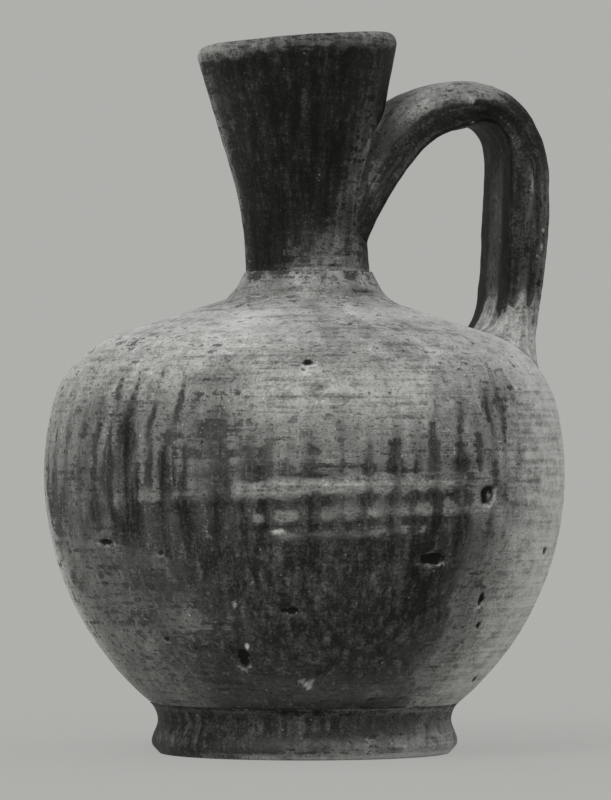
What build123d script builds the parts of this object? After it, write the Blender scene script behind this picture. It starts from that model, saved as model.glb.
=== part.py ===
from build123d import *
import os
from math import asin, atan2, cos, degrees, hypot, radians, sin, sqrt, tan

# A round-mouthed jug of wheel-thrown clay, built as the potter built it. The body, the neck and the
# foot ring are thrown apart, the strap handle is pulled, and soft clay lutes them all together.
# Millimetres and degrees. The origin is the centre of the resting plane, +Z is up and +X runs to the
# handle. Radii are measured from the axis of the body, or from the leaning axis of the neck.

# Body: a round belly, drawn in to a small base and closed over by a sloping shoulder
BELLY_RADIUS = 73.0
BELLY_HEIGHT = 77.5
BASE_RADIUS = 31.0
BASE_HEIGHT = 5.5
BODY_WALL = 5.0
FLOOR_THICKNESS = 6.5
SHOULDER_TURN = 28.0
SHOULDER_SLOPE = 18.3

# Neck: a funnel with a rounded lip, which leans away from the handle
NECK_SEAT_RISE = 50.8
NECK_SHIFT = 1.15
NECK_LEAN = 2.8
NECK_BASE_RADIUS = 17.9
NECK_WAIST_RADIUS = 17.3
NECK_WAIST_RISE = 13.0
NECK_CURVE = 84.0
NECK_WALL = 4.6
LIP_RADIUS = 28.9
LIP_RISE = 71.3
LIP_TILT = 4.5
LIP_ROUND_SHARE = 0.45

# Collar: the cone of clay pressed round the foot of the neck
COLLAR_RADIUS = 25.6
COLLAR_RISE = 6.0

# Foot ring: a low flared ring, drawn up over the body in a shallow hollow. Its insets and its width
# are measured inward from the line where it meets the body.
FOOT_TOP_HEIGHT = 14.0
FOOT_SWELL_INSET = 0.4
FOOT_SWELL_HEIGHT = 3.2
FOOT_WAIST_INSET = 2.1
FOOT_WAIST_HEIGHT = 9.3
FOOT_WIDTH = 8.9
FOOT_REST_WIDTH = 4.0
FOOT_REST_INSET = 2.4
FOOT_INNER_ROUND = 1.6

# Handle: a pulled strap with ridged edges, pinched inside its bend and spread at both roots
HANDLE_TAIL_WIDTH = 22.0
HANDLE_TAIL_THICKNESS = 12.0
HANDLE_ROOT_WIDTH = 28.4
HANDLE_ROOT_THICKNESS = 14.4
HANDLE_ARCH_WIDTH = 25.0
HANDLE_ARCH_THICKNESS = 12.4
HANDLE_LEG_WIDTH = 27.6
HANDLE_LEG_THICKNESS = 12.0
HANDLE_END_WIDTH = 31.0
HANDLE_END_THICKNESS = 10.2
HANDLE_CROOK_DEPTH = 2.6
HANDLE_EDGE_ROUND = 2.4
HANDLE_GROOVE = 0.9
HANDLE_SIDE_SWELL = 1.4
HANDLE_UNDER_SWELL = 0.6
HANDLE_SLICES = 22

# The line that the middle of the strap follows: up from the neck, over the arch and down to the
# shoulder. Its slopes are measured from level, and each stretch turns on a circle of its own.
HANDLE_ARCH_RISE = 53.4
HANDLE_INSET = 10.0
HANDLE_ROOT_STAND = 5.6
HANDLE_TAIL_SLOPE = 64.0
HANDLE_TAIL_LENGTH = 20.0
HANDLE_TAIL_CURVE = 60.0
HANDLE_RISE_SLOPE = 50.0
HANDLE_CROWN_CURVE = 14.0
HANDLE_CROWN_SLOPE = 46.0
HANDLE_BEND_CURVE = 22.9
HANDLE_LEG_CURVE = 260.0
HANDLE_LEG_TURN = 10.0

# Luting: the clay smeared under the strap on the neck and all round its foot on the shoulder. Each
# spread is how far the clay would stand out from the strap at the bottom of its hollow. The lower skirt
# is sunk into the shoulder, which falls away round it, and is trimmed there.
LUTING_LIP = 0.4
LUTING_SLICES = 7
UPPER_LUTING_LENGTH = 15.0
UPPER_LUTING_SIDE_SPREAD = 2.6
UPPER_LUTING_INNER_SPREAD = 2.2
UPPER_LUTING_LEDGE = 3.0
LOWER_LUTING_HEIGHT = 21.0
LOWER_LUTING_SINK = 3.5
LOWER_LUTING_SIDE_SPREAD = 10.0
LOWER_LUTING_INNER_SPREAD = 19.0
LOWER_LUTING_OUTER_SPREAD = 6.5
LOWER_LUTING_CORNER = 7.0

# How far a piece runs on inside its neighbour before it is trimmed to it
OVERRUN = 8.0


def on_circle(centre, radius, toward):
    """The point of a circle that lies toward another point."""
    away = hypot(toward[0] - centre[0], toward[1] - centre[1])
    return (
        centre[0] + radius * (toward[0] - centre[0]) / away,
        centre[1] + radius * (toward[1] - centre[1]) / away,
    )


def arc_about(centre, radius, start, end):
    """The shorter arc of a circle between two of its points."""
    middle = on_circle(centre, radius, ((start[0] + end[0]) / 2, (start[1] + end[1]) / 2))
    return ThreePointArc(start, middle, end)


def turned(edges):
    """The solid that an outline sweeps in a full turn, begun on the side away from the handle."""
    return Rot(0, 0, 180) * revolve(Plane.XZ * make_face(edges), Axis.Z, 360)


# Body

seat_height = BELLY_HEIGHT + NECK_SEAT_RISE
base_fall = BELLY_HEIGHT - BASE_HEIGHT
base_draw = BELLY_RADIUS - BASE_RADIUS
belly_curve = (base_fall**2 + base_draw**2) / (2 * base_draw)
belly_centre = (BELLY_RADIUS - belly_curve, BELLY_HEIGHT)

slope = radians(SHOULDER_SLOPE)
slope_normal = (sin(slope), cos(slope))
slope_run = (cos(slope), -sin(slope))
seat_edge = (NECK_BASE_RADIUS, seat_height)

# The shoulder turns on a circle whose centre lies SHOULDER_TURN under the slope and which touches
# the circle of the belly from inside.
turn_base = (
    seat_edge[0] - slope_normal[0] * SHOULDER_TURN,
    seat_edge[1] - slope_normal[1] * SHOULDER_TURN,
)
gap = (turn_base[0] - belly_centre[0], turn_base[1] - belly_centre[1])
along = gap[0] * slope_run[0] + gap[1] * slope_run[1]
reach = belly_curve - SHOULDER_TURN
slide = sqrt(along**2 - gap[0] ** 2 - gap[1] ** 2 + reach**2) - along
turn_centre = (
    turn_base[0] + slope_run[0] * slide,
    turn_base[1] + slope_run[1] * slide,
)


def body_form(inset, bottom):
    """The thrown body as a solid form, drawn in by the wall's thickness where it is the hollow."""
    curve = belly_curve - inset
    turn = SHOULDER_TURN - inset
    foot = (belly_centre[0] + sqrt(curve**2 - (BELLY_HEIGHT - bottom) ** 2), bottom)
    widest = (belly_centre[0] + curve, BELLY_HEIGHT)
    turn_start = on_circle(belly_centre, curve, turn_centre)
    turn_end = (turn_centre[0] + slope_normal[0] * turn, turn_centre[1] + slope_normal[1] * turn)
    top = (0, turn_end[1] + turn_end[0] * tan(slope))
    outline = [
        Line((0, bottom), foot),
        arc_about(belly_centre, curve, foot, widest),
        arc_about(belly_centre, curve, widest, turn_start),
        arc_about(turn_centre, turn, turn_start, turn_end),
        Line(turn_end, top),
        Line(top, (0, bottom)),
    ]
    return turned(outline)


# Neck, made upright on the Z axis with its seat at zero, then set on the shoulder at its lean

neck_centre = (NECK_WAIST_RADIUS + NECK_CURVE, NECK_WAIST_RISE)
lip_away = hypot(LIP_RADIUS - neck_centre[0], LIP_RISE - neck_centre[1])
lip_bearing = atan2(LIP_RISE - neck_centre[1], neck_centre[0] - LIP_RADIUS)
flare = lip_bearing - atan2(sqrt(lip_away**2 - NECK_CURVE**2), NECK_CURVE)
foot_draw = NECK_BASE_RADIUS - NECK_WAIST_RADIUS
neck_foot_curve = (NECK_WAIST_RISE**2 + foot_draw**2) / (2 * foot_draw)


def neck_form(inset):
    """The neck as a solid form, drawn in by the wall's thickness where it is the bore."""
    curve = NECK_CURVE + inset
    foot_curve = neck_foot_curve + inset
    waist = (NECK_WAIST_RADIUS - inset, NECK_WAIST_RISE)
    foot_centre = (waist[0] + foot_curve, NECK_WAIST_RISE)
    foot = (foot_centre[0] - sqrt(foot_curve**2 - NECK_WAIST_RISE**2), 0)
    leave = (neck_centre[0] - curve * cos(flare), neck_centre[1] + curve * sin(flare))
    top = (leave[0] + (LIP_RISE + OVERRUN - leave[1]) * tan(flare), LIP_RISE + OVERRUN)
    outline = [
        Line((0, -OVERRUN), (foot[0], -OVERRUN)),
        Line((foot[0], -OVERRUN), foot),
        arc_about(foot_centre, foot_curve, foot, waist),
        arc_about(neck_centre, curve, waist, leave),
        Line(leave, top),
        Line(top, (0, top[1])),
        Line((0, top[1]), (0, -OVERRUN)),
    ]
    return turned(outline)


def neck_shell():
    """The open neck, its mouth cut at the lip's own tilt and its lip rounded inside and out."""
    tilt = radians(LIP_TILT - NECK_LEAN)
    mouth = Plane((0, 0, LIP_RISE), x_dir=(cos(tilt), 0, sin(tilt)), z_dir=(-sin(tilt), 0, cos(tilt)))
    shell = split(neck_form(0) - neck_form(NECK_WALL), bisect_by=mouth, keep=Keep.BOTTOM)
    rim = shell.faces().sort_by(Axis.Z)[-1]
    return fillet(rim.edges(), NECK_WALL * LIP_ROUND_SHARE)


neck_place = Location((NECK_SHIFT, 0, seat_height), (0, -NECK_LEAN, 0))
solid_body = body_form(0, BASE_HEIGHT)
solid_neck = neck_place * neck_form(0)
neck_bore = neck_place * neck_form(NECK_WALL)

body = solid_body - body_form(BODY_WALL, BASE_HEIGHT + FLOOR_THICKNESS) - neck_bore
neck = neck_place * neck_shell() - solid_body


# Collar

def collar_ring():
    """The cone of clay in the angle of neck and shoulder."""
    low = (COLLAR_RADIUS, seat_height - (COLLAR_RADIUS - NECK_BASE_RADIUS) * tan(slope))
    high = (NECK_BASE_RADIUS, seat_height + COLLAR_RISE)
    under = NECK_BASE_RADIUS - NECK_WALL
    outline = [
        Line(low, high),
        Line(high, (under, high[1])),
        Line((under, high[1]), (under, low[1])),
        Line((under, low[1]), low),
    ]
    return turned(outline)


collar = Pos(NECK_SHIFT, 0, 0) * collar_ring() - solid_neck - solid_body


# Foot ring

def foot_form():
    """The foot ring before it is trimmed to the body: swelling below, hollow waisted, drawn up above."""
    meeting = belly_centre[0] + sqrt(belly_curve**2 - (BELLY_HEIGHT - FOOT_TOP_HEIGHT) ** 2)
    rest_outer = meeting - FOOT_SWELL_INSET - FOOT_REST_INSET
    rest_inner = rest_outer - FOOT_REST_WIDTH
    swell = (meeting - FOOT_SWELL_INSET, FOOT_SWELL_HEIGHT)
    waist = (meeting - FOOT_WAIST_INSET, FOOT_WAIST_HEIGHT)
    top = (meeting, FOOT_TOP_HEIGHT)
    inner = (meeting - FOOT_WIDTH, FOOT_INNER_ROUND)
    outline = [
        Spline((rest_outer, 0), swell, waist, top, tangents=[(1, 1), (0, 1), (0, 1), (1, 1)]),
        Line(top, (inner[0], FOOT_TOP_HEIGHT)),
        Line((inner[0], FOOT_TOP_HEIGHT), inner),
        Line(inner, (rest_inner, 0)),
        Line((rest_inner, 0), (rest_outer, 0)),
    ]
    return turned(outline)


foot_ring = foot_form() - solid_body


# Handle

def turn_run(radius, steep, shallow):
    """How far a stretch of line runs outward and upward while it turns between two slopes."""
    steep, shallow = radians(steep), radians(shallow)
    return radius * (sin(steep) - sin(shallow)), radius * (cos(shallow) - cos(steep))


def heading(slope_angle):
    """The direction in the plane of the handle that climbs outward at a slope."""
    return (cos(radians(slope_angle)), sin(radians(slope_angle)))


def strap_line():
    """The line that the middle of the strap follows, from inside the neck to inside the shoulder."""
    bend_run = turn_run(HANDLE_BEND_CURVE, 90, HANDLE_CROWN_SLOPE)
    crown_run = turn_run(HANDLE_CROWN_CURVE, HANDLE_CROWN_SLOPE, 0)
    arch_reach = BELLY_RADIUS - HANDLE_INSET - bend_run[0] - crown_run[0]
    root_reach = NECK_SHIFT + NECK_WAIST_RADIUS + HANDLE_ROOT_STAND
    rise_curve = (arch_reach - root_reach) / sin(radians(HANDLE_RISE_SLOPE))
    rise_run = turn_run(rise_curve, HANDLE_RISE_SLOPE, 0)
    tail_run = turn_run(HANDLE_TAIL_CURVE, HANDLE_TAIL_SLOPE, HANDLE_RISE_SLOPE)
    tail = Vector(*heading(HANDLE_TAIL_SLOPE)) * HANDLE_TAIL_LENGTH
    arch_height = seat_height + HANDLE_ARCH_RISE
    start = Vector(root_reach - tail_run[0], arch_height - rise_run[1] - tail_run[1]) - tail
    line = [PolarLine(start, HANDLE_TAIL_LENGTH, HANDLE_TAIL_SLOPE)]
    turns = [
        (HANDLE_TAIL_CURVE, HANDLE_TAIL_SLOPE - HANDLE_RISE_SLOPE),
        (rise_curve, HANDLE_RISE_SLOPE),
        (HANDLE_CROWN_CURVE, HANDLE_CROWN_SLOPE),
        (HANDLE_BEND_CURVE, 90 - HANDLE_CROWN_SLOPE),
        (HANDLE_LEG_CURVE, HANDLE_LEG_TURN),
    ]
    for radius, angle in turns:
        line += [JernArc(line[-1] @ 1, line[-1] % 1, radius, -angle)]
    leg_end = line[-1] @ 1
    return Wire(line + [PolarLine(leg_end, leg_end.Y - BELLY_HEIGHT, -90 - HANDLE_LEG_TURN)])


def eased(keys, share):
    """A size at a share of the strap's length, eased between the sizes keyed on either side."""
    for (start, low), (end, high) in zip(keys, keys[1:]):
        if share <= end:
            step = max(share - start, 0) / (end - start)
            return low + (high - low) * step * step * (3 - 2 * step)
    return keys[-1][1]


handle_line = strap_line()
width_shares = [
    (0.0, HANDLE_TAIL_WIDTH),
    (0.2, HANDLE_ROOT_WIDTH),
    (0.4, HANDLE_ARCH_WIDTH),
    (0.6, HANDLE_LEG_WIDTH),
    (0.9, HANDLE_END_WIDTH),
]
thickness_shares = [
    (0.0, HANDLE_TAIL_THICKNESS),
    (0.2, HANDLE_ROOT_THICKNESS),
    (0.38, HANDLE_ARCH_THICKNESS),
    (0.58, HANDLE_LEG_THICKNESS),
    (0.8, HANDLE_END_THICKNESS),
]
crook_shares = [(0.33, 0), (0.41, HANDLE_CROOK_DEPTH), (0.52, 0)]


def across(share):
    """The plane square to the strap's line, with its Y axis toward the outside of the strap."""
    point, course = handle_line @ share, handle_line % share
    return Plane((point.X, 0, point.Y), x_dir=(0, 1, 0), z_dir=(course.X, 0, course.Y))


def strap_slice(plane, width, outer, inner, corner=HANDLE_EDGE_ROUND):
    """A slice of strap: two edge ridges with a hollow between, swelling sides and a full inner face."""
    half = width / 2
    flat = half - corner
    cut = corner * (1 - sqrt(0.5))
    top = outer - corner
    low = corner - inner
    side = [
        ThreePointArc((flat, outer), (half - cut, outer - cut), (half, top)),
        ThreePointArc((half, top), (half + HANDLE_SIDE_SWELL, (top + low) / 2), (half, low)),
        ThreePointArc((half, low), (half - cut, cut - inner), (flat, -inner)),
    ]
    crest = ThreePointArc((-flat, outer), (0, outer - HANDLE_GROOVE), (flat, outer))
    under = ThreePointArc((flat, -inner), (0, -inner - HANDLE_UNDER_SWELL), (-flat, -inner))
    return plane * make_face([crest, under] + side + [mirror(edge, Plane.YZ) for edge in side])


def strap_form():
    """The whole strap, lofted through even slices from inside the neck to inside the shoulder."""
    slices = []
    for index in range(HANDLE_SLICES):
        share = index / (HANDLE_SLICES - 1)
        half = eased(thickness_shares, share) / 2
        inner = half - eased(crook_shares, share)
        slices.append(strap_slice(across(share), eased(width_shares, share), half, inner))
    return loft(slices)


strap = strap_form()
handle = strap - solid_neck - solid_body


# Luting at the roots of the handle

def shoulder_height(radius):
    """The height of the body's surface above its widest part, at a distance from the axis."""
    if radius < turn_centre[0] + slope_normal[0] * SHOULDER_TURN:
        return seat_height - (radius - NECK_BASE_RADIUS) * tan(slope)
    if radius < on_circle(belly_centre, belly_curve, turn_centre)[0]:
        return turn_centre[1] + sqrt(SHOULDER_TURN**2 - (radius - turn_centre[0]) ** 2)
    return BELLY_HEIGHT + sqrt(max(belly_curve**2 - (radius - belly_centre[0]) ** 2, 0))


def share_where(passed):
    """The share of the strap's line past which a test of its points holds, found by halving."""
    low, high = 0.0, 1.0
    while high - low > 1e-6:
        middle = (low + high) / 2
        low, high = (low, middle) if passed(handle_line @ middle) else (middle, high)
    return high


def spread_at(spread, turn):
    """How far clay stands out where a hollow quarter round from its lip to its spread has turned."""
    return LUTING_LIP + (spread - LUTING_LIP) * (1 - cos(turn))


def upper_luting_form():
    """The clay that fills in under the strap on the neck, with a ledge along each of its sides."""
    start = (HANDLE_TAIL_LENGTH + UPPER_LUTING_LENGTH) / handle_line.length
    slices = []
    for index in range(LUTING_SLICES):
        turn = radians(90) * index / (LUTING_SLICES - 1)
        share = start * (1 - sin(turn))
        half = eased(thickness_shares, share) / 2
        width = eased(width_shares, share) + 2 * spread_at(UPPER_LUTING_SIDE_SPREAD, turn)
        below = half + spread_at(UPPER_LUTING_INNER_SPREAD, turn)
        slices.append(strap_slice(across(share), width, half - UPPER_LUTING_LEDGE, below))
    return loft(slices)


def lower_luting_form():
    """The skirt of clay round the strap's foot, sliced ever nearer to the slope of the shoulder."""
    leg = handle_line @ share_where(lambda point: point.Y < shoulder_height(point.X))
    outer_edge = leg.X + HANDLE_END_THICKNESS / 2 + LOWER_LUTING_OUTER_SPREAD
    inner_edge = leg.X - HANDLE_END_THICKNESS / 2 - LOWER_LUTING_INNER_SPREAD
    fall = shoulder_height(inner_edge) - shoulder_height(outer_edge)
    tilt = degrees(atan2(fall, outer_edge - inner_edge))
    chord = shoulder_height(outer_edge) + (outer_edge - leg.X) * tan(radians(tilt))
    seat = chord - LOWER_LUTING_SINK
    foot = share_where(lambda point: point.Y < seat - (point.X - leg.X) * tan(radians(tilt)))
    shown = LOWER_LUTING_HEIGHT / handle_line.length
    slices = []
    for index in range(LUTING_SLICES):
        turn = radians(90) * index / (LUTING_SLICES - 1)
        share = foot - shown * (1 - sin(turn))
        point = handle_line @ share
        lean = (tilt - HANDLE_LEG_TURN) * sin(turn)
        course = heading(-90 - HANDLE_LEG_TURN - lean)
        plane = Plane((point.X, 0, point.Y), x_dir=(0, 1, 0), z_dir=(course[0], 0, course[1]))
        half = eased(thickness_shares, share) / 2 / cos(radians(lean))
        width = eased(width_shares, share) + 2 * spread_at(LOWER_LUTING_SIDE_SPREAD, turn)
        outer = half + spread_at(LOWER_LUTING_OUTER_SPREAD, turn)
        inner = half + spread_at(LOWER_LUTING_INNER_SPREAD, turn)
        corner = HANDLE_EDGE_ROUND + (LOWER_LUTING_CORNER - HANDLE_EDGE_ROUND) * (1 - cos(turn))
        slices.append(strap_slice(plane, width, outer, inner, corner))
    return loft(slices)


def largest(shape):
    """The one real piece of a trimmed shape, without the crumbs that trimming leaves."""
    return shape.solids().sort_by(SortBy.VOLUME)[-1]


handle_upper_luting = largest(upper_luting_form() - strap - solid_neck)
handle_lower_luting = largest(lower_luting_form() - strap - solid_body)

pieces = {
    "body": body,
    "neck": neck,
    "neck_collar": collar,
    "foot_ring": foot_ring,
    "handle": handle,
    "handle_upper_luting": handle_upper_luting,
    "handle_lower_luting": handle_lower_luting,
}
os.makedirs("parts", exist_ok=True)
for name, piece in pieces.items():
    export_step(piece, f"parts/{name}.step")
    print(f"{name}: {len(piece.solids())} solid, {piece.volume:.0f} cubic mm, valid {piece.is_valid}")
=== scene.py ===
"""A small jug of wheel-thrown clay, its dark slip worn down to the clay, on a pale floor.

Metres and radians in the frame of the CAD model: the resting plane is at zero, +Z is up and +X runs
to the handle. Places round the pot are degrees to the right of the middle of the front view.
"""

from math import atan2, cos, degrees, dist, exp, hypot, pi, radians, sin, sqrt, tan

import bmesh
import bpy
import numpy as np
from bpy.props import FloatProperty, FloatVectorProperty, PointerProperty
from mathutils import Matrix, Vector, noise


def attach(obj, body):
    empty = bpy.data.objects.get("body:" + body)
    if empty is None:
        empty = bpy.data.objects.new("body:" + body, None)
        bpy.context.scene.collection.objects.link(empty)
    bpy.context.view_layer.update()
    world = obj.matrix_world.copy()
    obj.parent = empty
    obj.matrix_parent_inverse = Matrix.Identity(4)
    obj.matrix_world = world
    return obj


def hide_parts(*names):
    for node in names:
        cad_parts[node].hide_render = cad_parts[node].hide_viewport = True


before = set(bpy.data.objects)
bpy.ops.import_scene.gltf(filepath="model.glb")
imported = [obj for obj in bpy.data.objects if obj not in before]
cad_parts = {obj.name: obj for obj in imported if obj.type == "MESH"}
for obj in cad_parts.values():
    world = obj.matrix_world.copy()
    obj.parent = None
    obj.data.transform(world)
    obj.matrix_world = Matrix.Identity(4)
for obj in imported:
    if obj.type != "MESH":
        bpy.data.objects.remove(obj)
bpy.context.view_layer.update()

bl_info = {
    "name": "Thrown clay jug",
    "version": (1, 0, 0),
    "blender": (4, 5, 0),
    "location": "3D View > Sidebar > Jug",
    "description": "Models a worn round-bellied clay jug over its CAD frame",
    "category": "Object",
}

MM = 0.001
# The bearing of the camera from the jug's axis in the front view
FRONT = radians(-107.5)
# Points nearer to each other than this become one
WELD = 0.001 * MM
# For each thrown piece, the steps round it and the length of a step along its outline, where the neck
# and the body have a longer one inside, where little is seen
BODY_STEPS = (380, 1.25 * MM, 4.5 * MM)
FOOT_STEPS = (320, 0.6 * MM)
NECK_STEPS = (300, 0.9 * MM, 2.2 * MM)
COLLAR_STEPS = (260, 0.6 * MM)


# Sizes and colours that a user would change


def length(name, description, millimetres):
    """A length in metres, with its default given in millimetres."""
    return FloatProperty(
        name=name, description=description, default=millimetres * MM, min=0, unit="LENGTH", precision=4
    )


def angle(name, description, slope):
    """An angle, with its default given in degrees."""
    return FloatProperty(name=name, description=description, default=radians(slope), subtype="ANGLE")


def grey(name, description, level, tint=(1.0, 1.0, 1.0)):
    """A clay or backdrop colour, near grey, with its default given as a level and a tint."""
    return FloatVectorProperty(
        name=name,
        description=description,
        default=[level * part for part in tint],
        min=0,
        max=1,
        subtype="COLOR",
    )


def amount(name, description, default):
    """A plain number from nought to a few."""
    return FloatProperty(name=name, description=description, default=default, min=0)


class JugPot(bpy.types.PropertyGroup):
    """Sizes of the thrown pieces: body, neck, collar and foot ring."""

    belly_radius: length("Belly radius", "Widest radius of the body", 73.0)
    belly_height: length("Belly height", "Height of the widest part of the body", 77.5)
    base_radius: length("Base radius", "Radius of the body's flat base, hidden in the foot", 31.0)
    base_height: length("Base height", "Height of the body's base above the floor", 5.5)
    body_wall: length("Body wall", "Thickness of the thrown wall", 5.0)
    floor_thickness: length("Floor thickness", "Thickness of the pot's floor", 6.5)
    shoulder_turn: length("Shoulder turn", "Radius on which belly turns to shoulder", 28.0)
    shoulder_slope: angle("Shoulder slope", "Slope of the shoulder", 18.3)
    seat_height: length("Neck seat height", "Height at which the neck stands on the shoulder", 128.3)
    neck_shift: length("Neck shift", "How far the neck stands off the body's axis", 1.15)
    neck_lean: angle("Neck lean", "Lean of the neck away from the handle", 2.8)
    neck_base_radius: length("Neck base radius", "Outer radius of the neck at its seat", 17.9)
    neck_waist_radius: length("Neck waist radius", "Least outer radius of the neck", 17.3)
    neck_waist_rise: length("Neck waist rise", "Height of that waist above the seat", 13.0)
    neck_curve: length("Neck curve", "Radius on which the neck flares", 84.0)
    neck_wall: length("Neck wall", "Thickness of the neck's wall", 4.6)
    lip_radius: length("Lip radius", "Outer radius of the mouth", 28.9)
    lip_rise: length("Lip rise", "Height of the mouth above the seat", 71.3)
    lip_tilt: angle("Lip tilt", "Tilt of the mouth, high on the handle's side", 4.5)
    collar_radius: length("Collar radius", "Outer radius of the collar on the shoulder", 25.6)
    collar_rise: length("Collar rise", "How far the collar climbs the neck", 6.0)
    foot_top_height: length("Foot top height", "Height at which the foot meets the body", 14.0)
    foot_swell_inset: length("Foot swell inset", "How far the foot's swell lies inside that line", 0.4)
    foot_swell_height: length("Foot swell height", "Height of the foot's widest part", 3.2)
    foot_waist_inset: length("Foot waist inset", "How far the foot's waist lies inside it", 2.1)
    foot_waist_height: length("Foot waist height", "Height of the foot's waist", 9.3)
    foot_width: length("Foot width", "Width of the foot ring at its top", 8.9)
    foot_rest_width: length("Foot rest width", "Width of the ring that the jug stands on", 4.0)
    foot_rest_inset: length("Foot rest inset", "How far that ring lies inside the swell", 2.4)
    foot_inner_round: length("Foot inner round", "Height of the foot's inner chamfer", 1.6)


class JugStrap(bpy.types.PropertyGroup):
    """Sizes of the strap handle and of the clay smeared at its roots."""

    tail_width: length("Tail width", "Width of the strap inside the neck", 22.0)
    tail_thickness: length("Tail thickness", "Thickness of the strap inside the neck", 12.0)
    root_width: length("Root width", "Width of the strap beside the neck", 28.4)
    root_thickness: length("Root thickness", "Thickness of the strap beside the neck", 14.4)
    arch_width: length("Arch width", "Width of the strap over the arch", 25.0)
    arch_thickness: length("Arch thickness", "Thickness of the strap over the arch", 12.4)
    leg_width: length("Leg width", "Width of the strap below the bend", 27.6)
    leg_thickness: length("Leg thickness", "Thickness of the strap below the bend", 12.0)
    end_width: length("End width", "Width of the strap at the shoulder", 31.0)
    end_thickness: length("End thickness", "Thickness of the strap at the shoulder", 10.2)
    crook_depth: length("Crook depth", "How far the inside of the bend is pinched", 2.6)
    edge_round: length("Edge round", "Radius of the strap's edges", 2.4)
    groove: length("Groove", "Depth of the hollow along the strap's back", 0.9)
    side_swell: length("Side swell", "How far the sides swell", 1.4)
    under_swell: length("Under swell", "How far the inner face swells", 0.6)
    arch_rise: length("Arch rise", "Height of the arch above the neck's seat", 53.4)
    inset: length("Inset", "How far the strap's line keeps inside the belly", 10.0)
    root_stand: length("Root stand", "How far the strap's line stands off the neck", 5.6)
    tail_slope: angle("Tail slope", "Slope of the line inside the neck", 64.0)
    tail_length: length("Tail length", "Length of the line inside the neck", 20.0)
    tail_curve: length("Tail curve", "Radius on which the line leaves the tail", 60.0)
    rise_slope: angle("Rise slope", "Slope at which the arch begins", 50.0)
    crown_curve: length("Crown curve", "Radius over the crown", 14.0)
    crown_slope: angle("Crown slope", "Slope at which the crown ends", 46.0)
    bend_curve: length("Bend curve", "Radius of the outer bend", 22.9)
    leg_curve: length("Leg curve", "Radius of the long leg", 260.0)
    leg_turn: angle("Leg turn", "How far the leg leans in at the shoulder", 10.0)
    root_spread: length("Root spread", "How far clay is smeared round the upper root", 3.0)
    root_climb: length("Root climb", "How far that clay climbs the strap", 5.0)
    foot_spread: length("Foot spread", "How far clay is smeared round the lower root", 6.0)
    foot_climb: length("Foot climb", "How far that clay climbs the strap", 15.0)


class JugClay(bpy.types.PropertyGroup):
    """Colours and finish of the fired clay."""

    # Char is also the tone that the painted shade in the pits reaches.
    char: grey("Char", "The darkest of the slip, in its hollows", 0.002, (1.0, 1.0, 0.9))
    slip: grey("Slip", "The dark slip where it is whole", 0.0145, (1.0, 1.0, 0.9))
    thin_slip: grey("Thin slip", "The slip where it is rubbed thin", 0.066, (1.0, 1.02, 0.93))
    clay: grey("Clay", "The bare fired clay", 0.215, (1.0, 1.02, 0.96))
    bloom: grey("Bloom", "The pale bloom on the bare clay", 0.50, (1.0, 1.015, 0.975))
    chalk: grey("Chalk", "The palest crumbs of that bloom", 0.70, (1.0, 1.01, 0.98))
    roughness: amount("Roughness", "Roughness of the fired surface", 0.62)
    tooth: length("Tooth", "Depth of the fine grain", 0.4)


class JugStage(bpy.types.PropertyGroup):
    """The floor, the backdrop, the lamps and the camera."""

    backdrop: grey("Backdrop", "Colour of the backdrop", 0.43, (1.0, 1.01, 0.965))
    floor_colour: grey("Floor", "Colour of the floor by the jug", 0.43, (1.0, 1.01, 0.965))
    floor_radius: length("Floor radius", "Radius of the floor", 3000.0)
    sky: amount("Sky", "Strength of the even light from all round", 0.72)
    key: amount("Key", "Power of the soft lamp, in watts", 30.0)
    camera_away: length("Camera distance", "Distance of the camera from the jug's axis", 1400.0)
    camera_height: length("Camera height", "Height of the camera", 80.0)
    aim_height: length("Aim height", "Height on the jug's axis that the camera looks at", 98.5)
    aim_side: length("Aim side", "How far to the right of the axis it looks", 0.28)
    lens: FloatProperty(name="Lens", description="Focal length of the camera, in mm", default=225.0)


# Outlines, drawn in radius and height


class Pen:
    """Draws an outline through radius and height in steps of an even length."""

    def __init__(self, start, step):
        self.points = [start]
        self.step = step

    def line_to(self, end):
        """A straight stretch."""
        start = self.points[-1]
        count = max(1, round(dist(start, end) / self.step))
        for index in range(1, count + 1):
            share = index / count
            self.points.append(tuple(a + (b - a) * share for a, b in zip(start, end)))

    def arc_to(self, centre, end):
        """The shorter arc about a centre."""
        start = self.points[-1]
        first = atan2(start[1] - centre[1], start[0] - centre[0])
        last = atan2(end[1] - centre[1], end[0] - centre[0])
        sweep = (last - first + pi) % (2 * pi) - pi
        radius = dist(centre, start)
        count = max(2, round(abs(sweep) * radius / self.step))
        for index in range(1, count + 1):
            bearing = first + sweep * index / count
            self.points.append((centre[0] + radius * cos(bearing), centre[1] + radius * sin(bearing)))

    def curve_to(self, end, leave, arrive):
        """A smooth curve that leaves and arrives along two directions."""
        start = self.points[-1]
        reach = dist(start, end)
        count = max(3, round(reach / self.step))
        for index in range(1, count + 1):
            t = index / count
            weights = (2 * t**3 - 3 * t**2 + 1, t**3 - 2 * t**2 + t, 3 * t**2 - 2 * t**3, t**3 - t**2)
            ends = (start, [reach * part for part in leave], end, [reach * part for part in arrive])
            self.points.append(
                tuple(sum(weight * point[side] for weight, point in zip(weights, ends)) for side in (0, 1))
            )


def unit(along, up):
    """A direction of length one."""
    return (along / hypot(along, up), up / hypot(along, up))


def on_circle(centre, radius, toward):
    """The point of a circle that lies toward another point."""
    away = dist(centre, toward)
    return tuple(c + radius * (t - c) / away for c, t in zip(centre, toward))


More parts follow.
